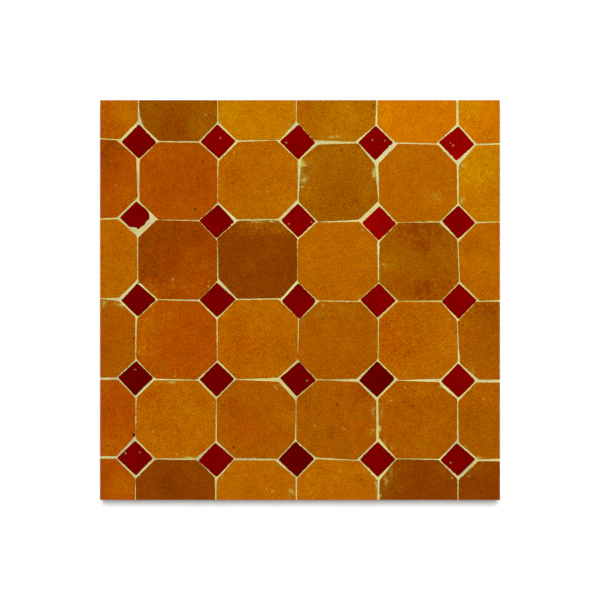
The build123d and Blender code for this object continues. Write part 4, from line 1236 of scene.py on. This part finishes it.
def clay_material():
    """The fired clay of the chiselled sides, the backs and the sawn edges."""
    m = Nodes("terracotta")
    buff = m.mix(m.noise(14.0, 3.0), (0.40, 0.250, 0.150), (0.47, 0.325, 0.210))
    grit = m.range(m.noise(1.1, 3.0, 0.65), 0.3, 0.7, 0.84, 1.14)
    colour = m.mix(1.0, buff, m.rgb(grit, grit, grit), "MULTIPLY")
    cells = m.cells(1.9)
    grog = m.math("MULTIPLY", m.range(cells.outputs["Distance"], 0.18, 0.30, 1.0, 0.0),
                  m.math("GREATER_THAN", m.split(cells.outputs["Color"])[1], 0.7))
    colour = m.mix(m.math("MULTIPLY", grog, 0.7), colour, (0.30, 0.150, 0.085))
    # Pores painted dark: painted shade in each pore, which is also sunk in the bump.
    pores = m.cells(2.6, place=m.shifted(0.4, 0.1, 0.2))
    pore = m.math("MULTIPLY", m.range(pores.outputs["Distance"], 0.10, 0.18, 1.0, 0.0),
                  m.math("GREATER_THAN", m.split(pores.outputs["Color"])[0], 0.6))
    colour = m.mix(pore, colour, (0.10, 0.055, 0.032))
    saw = m.node("ShaderNodeMapping", {"Vector": m.place, "Scale": (0.12, 0.12, 1.6)}).outputs[0]
    lines = m.noise(1.2, 2.0, 0.5, saw)
    normal = m.bump(m.noise(1.0, 3.0, 0.65), 0.00022)
    normal = m.bump(lines, 0.00012, normal=normal)
    normal = m.bump(pore, -0.0004, normal=normal)
    return m.finish(colour, m.range(m.noise(2.0), 0.3, 0.7, 0.82, 0.95), normal)


def mortar_material():
    """Sandy cream mortar, brightened and yellowed where it meets the glaze: painted light that
    offsets the shade in the narrow recessed joints.
    """
    m = Nodes("mortar_sand")
    tone, marks = m.attribute("tone"), m.attribute("marks")
    hole_shade, rim, cast = m.split(marks)
    grain = m.range(m.noise(0.9, 3.0, 0.7), 0.28, 0.72, 0.86, 1.13)
    colour = m.mix(1.0, tone, m.rgb(grain, grain, grain), "MULTIPLY")
    stain = m.range(m.noise(6.0, 3.0, 0.6), 0.52, 0.74, 0.0, 0.5)
    colour = m.mix(stain, colour, m.mix(1.0, colour, (0.97, 0.90, 0.66), "MULTIPLY"))
    rim = m.math("MULTIPLY", rim, m.range(m.noise(1.8, 2.0), 0.35, 0.7, 0.45, 1.0))
    # Only the joints' tops get this painted light, not the sawn ends of the joints.
    up = m.split(m.node("ShaderNodeNewGeometry").outputs["Normal"])[2]
    rim = m.math("MULTIPLY", rim, m.range(up, 0.15, 0.45, 0.0, 1.0))
    # Painted light: the joint edges are lifted towards bright straw to cancel the shade of the
    # recess.
    colour = m.mix(rim, colour, m.mix(1.0, colour, (1.20, 1.55, 0.50), "MULTIPLY"))
    cells = m.cells(1.3)
    sand = m.range(cells.outputs["Distance"], 0.16, 0.28, 1.0, 0.0)
    pick = m.split(cells.outputs["Color"])
    darker = m.math("MULTIPLY", sand, m.math("GREATER_THAN", pick[0], 0.86))
    lighter = m.math("MULTIPLY", sand, m.math("GREATER_THAN", pick[1], 0.84))
    colour = m.mix(m.math("MULTIPLY", darker, 0.6), colour, (0.14, 0.085, 0.045))
    colour = m.mix(m.math("MULTIPLY", lighter, 0.5), colour, (0.66, 0.60, 0.48))
    # The deepest open joints painted nearly black: painted shade inside the holes.
    colour = m.mix(hole_shade, colour, (0.030, 0.016, 0.007))
    # Pores on the cast faces painted dark: painted shade in each pore, which is also sunk in the
    # bump.
    pores = m.cells(2.2, place=m.shifted(0.3, 0.6, 0.1))
    pore = m.math("MULTIPLY", m.range(pores.outputs["Distance"], 0.10, 0.20, 1.0, 0.0),
                  m.math("MULTIPLY", cast,
                         m.math("GREATER_THAN", m.split(pores.outputs["Color"])[0], 0.55)))
    colour = m.mix(m.math("MULTIPLY", pore, 0.7), colour, (0.12, 0.085, 0.05))
    normal = m.bump(m.noise(0.8, 3.0, 0.7), 0.00016)
    normal = m.bump(sand, 0.00010, normal=normal)
    normal = m.bump(pore, -0.0005, normal=normal)
    return m.finish(colour, m.range(m.noise(1.5), 0.3, 0.7, 0.85, 0.97), normal)


def plain(name, colour, rough_low, rough_high):
    m = Nodes(name)
    faint = m.range(m.noise(40.0, 3.0), 0.3, 0.7, 0.985, 1.0)
    tint = m.mix(1.0, colour, m.rgb(faint, faint, faint), "MULTIPLY")
    return m.finish(tint, m.range(m.noise(25.0), 0.3, 0.7, rough_low, rough_high),
                    m.bump(m.noise(3.0), 0.00002), level=0.2)


# ---------------------------------------------------------------------------------------------
# The panel

def node_name(row, col):
    if row in (0, 5) and col in (0, 5):
        return "quarter_octagons"
    if row == 0:
        return "half_octagon_top_%d" % col
    if row == 5:
        return "half_octagon_bottom_%d" % col
    if col == 0:
        return "half_octagon_left_%d" % row
    if col == 5:
        return "half_octagon_right_%d" % row
    return "octagon_r%d_c%d" % (row, col)


amber = glaze_material("amber_glaze", 1.0)
red = glaze_material("red_glaze", 0.3)
clay = clay_material()
mortar = mortar_material()

groups, pieces = {}, []
for (row, col), outline in OCTAGONS.items():
    piece = Piece(outline, 1000 + 10 * row + col, 1.0)
    pieces.append(piece)
    spots = [(x, y, r, 0.35 * r, 0) for x, y, r in near(PITS, piece.loop(0))]
    spots += [(x, y, 0.7 * r, 0.1 * r, 1) for x, y, r in near(FLECKS, piece.loop(0))]
    groups.setdefault(node_name(row, col), []).append(
        (piece, octagon_tone((row, col)), spots))
for (row, col), outline in CABOCHONS.items():
    # One small square lost two corners; another lost one.
    broken = {(1, 0): (-115.0, 57.0, 6.5), (1, 1): (-50.5, 58.0, 3.0)}.get((row, col))
    piece = Piece(outline, 2000 + 10 * row + col, 1.6, broken)
    pieces.append(piece)
    spots = [(x, y, r, 0.35 * r, 0) for x, y, r in near(PITS, piece.loop(0))]
    spots += [(x, y, 0.7 * r, 0.1 * r, 1) for x, y, r in near(FLECKS, piece.loop(0))]
    groups["cabochon_r%d_c%d" % (row, col)] = [(piece, red_tone((row, col)), spots)]

for name, jobs in groups.items():
    small = name.startswith("cabochon")
    ob = build_piece("glazed_" + name, jobs, [red if small else amber, clay],
                     1.0 if small else 1.5)
    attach(ob, "root")
    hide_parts(name)

bed = build_mortar(pieces, [mortar])
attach(bed, "root")
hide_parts("mortar_bed")

# ---------------------------------------------------------------------------------------------
# Floor, light and camera

bpy.ops.mesh.primitive_plane_add(size=24.0, location=(0, 0, -0.0002))
floor = bpy.context.object
floor.name = "floor"
floor.data.materials.append(plain("pale_floor", (0.86, 0.86, 0.86), 0.7, 0.8))

world = bpy.data.worlds.new("studio")
bpy.context.scene.world = world
world.use_nodes = True
tree = world.node_tree
tree.nodes.clear()
coord = tree.nodes.new("ShaderNodeTexCoord")
parts = tree.nodes.new("ShaderNodeSeparateXYZ")
ramp = tree.nodes.new("ShaderNodeValToRGB")
sky = tree.nodes.new("ShaderNodeBackground")
out = tree.nodes.new("ShaderNodeOutputWorld")
tree.links.new(coord.outputs["Generated"], parts.inputs[0])
tree.links.new(parts.outputs["Z"], ramp.inputs[0])
tree.links.new(ramp.outputs[0], sky.inputs["Color"])
tree.links.new(sky.outputs[0], out.inputs["Surface"])
# By the sine of the height above the horizon: pale low down, a soft bright ring, nothing overhead.
stops = [(0.0, 1.0), (0.10, 1.0), (0.18, 0.35), (0.40, 0.30), (0.55, 0.75), (0.66, 0.80),
         (0.76, 0.08), (0.84, 0.0)]
ramp.color_ramp.elements[0].position, ramp.color_ramp.elements[1].position = 0.0, 0.84
for k, (at, value) in enumerate(stops):
    if k in (0, len(stops) - 1):
        e = ramp.color_ramp.elements[0 if k == 0 else -1]
    else:
        e = ramp.color_ramp.elements.new(at)
    e.color = (value, value, value, 1.0)
sky.inputs["Strength"].default_value = 1.0

key = bpy.data.lights.new("key", "SUN")
key.energy = 3.58
key.angle = math.radians(28)
key_ob = bpy.data.objects.new("key", key)
key_ob.rotation_euler = (math.radians(-15), 0.0, 0.0)
key_ob.visible_glossy = False           # its disc would veil the glaze in a straight-down view
key.cycles.use_multiple_importance_sampling = False
bpy.context.scene.collection.objects.link(key_ob)

scene = bpy.context.scene
scene.view_settings.view_transform = "Standard"
scene.view_settings.look = "None"
scene.view_settings.exposure = 0.0
scene.view_settings.gamma = 1.0
cam = bpy.data.cameras.new("camera")
cam.lens, cam.sensor_width, cam.sensor_fit = 150.0, 36.0, "HORIZONTAL"
cam.clip_start, cam.clip_end = 0.05, 60.0
cam_ob = bpy.data.objects.new("camera", cam)
cam_ob.location = (0.0, 0.0, 0.001 * TOP + cam.lens / cam.sensor_width * 0.45)
scene.collection.objects.link(cam_ob)
scene.camera = cam_ob
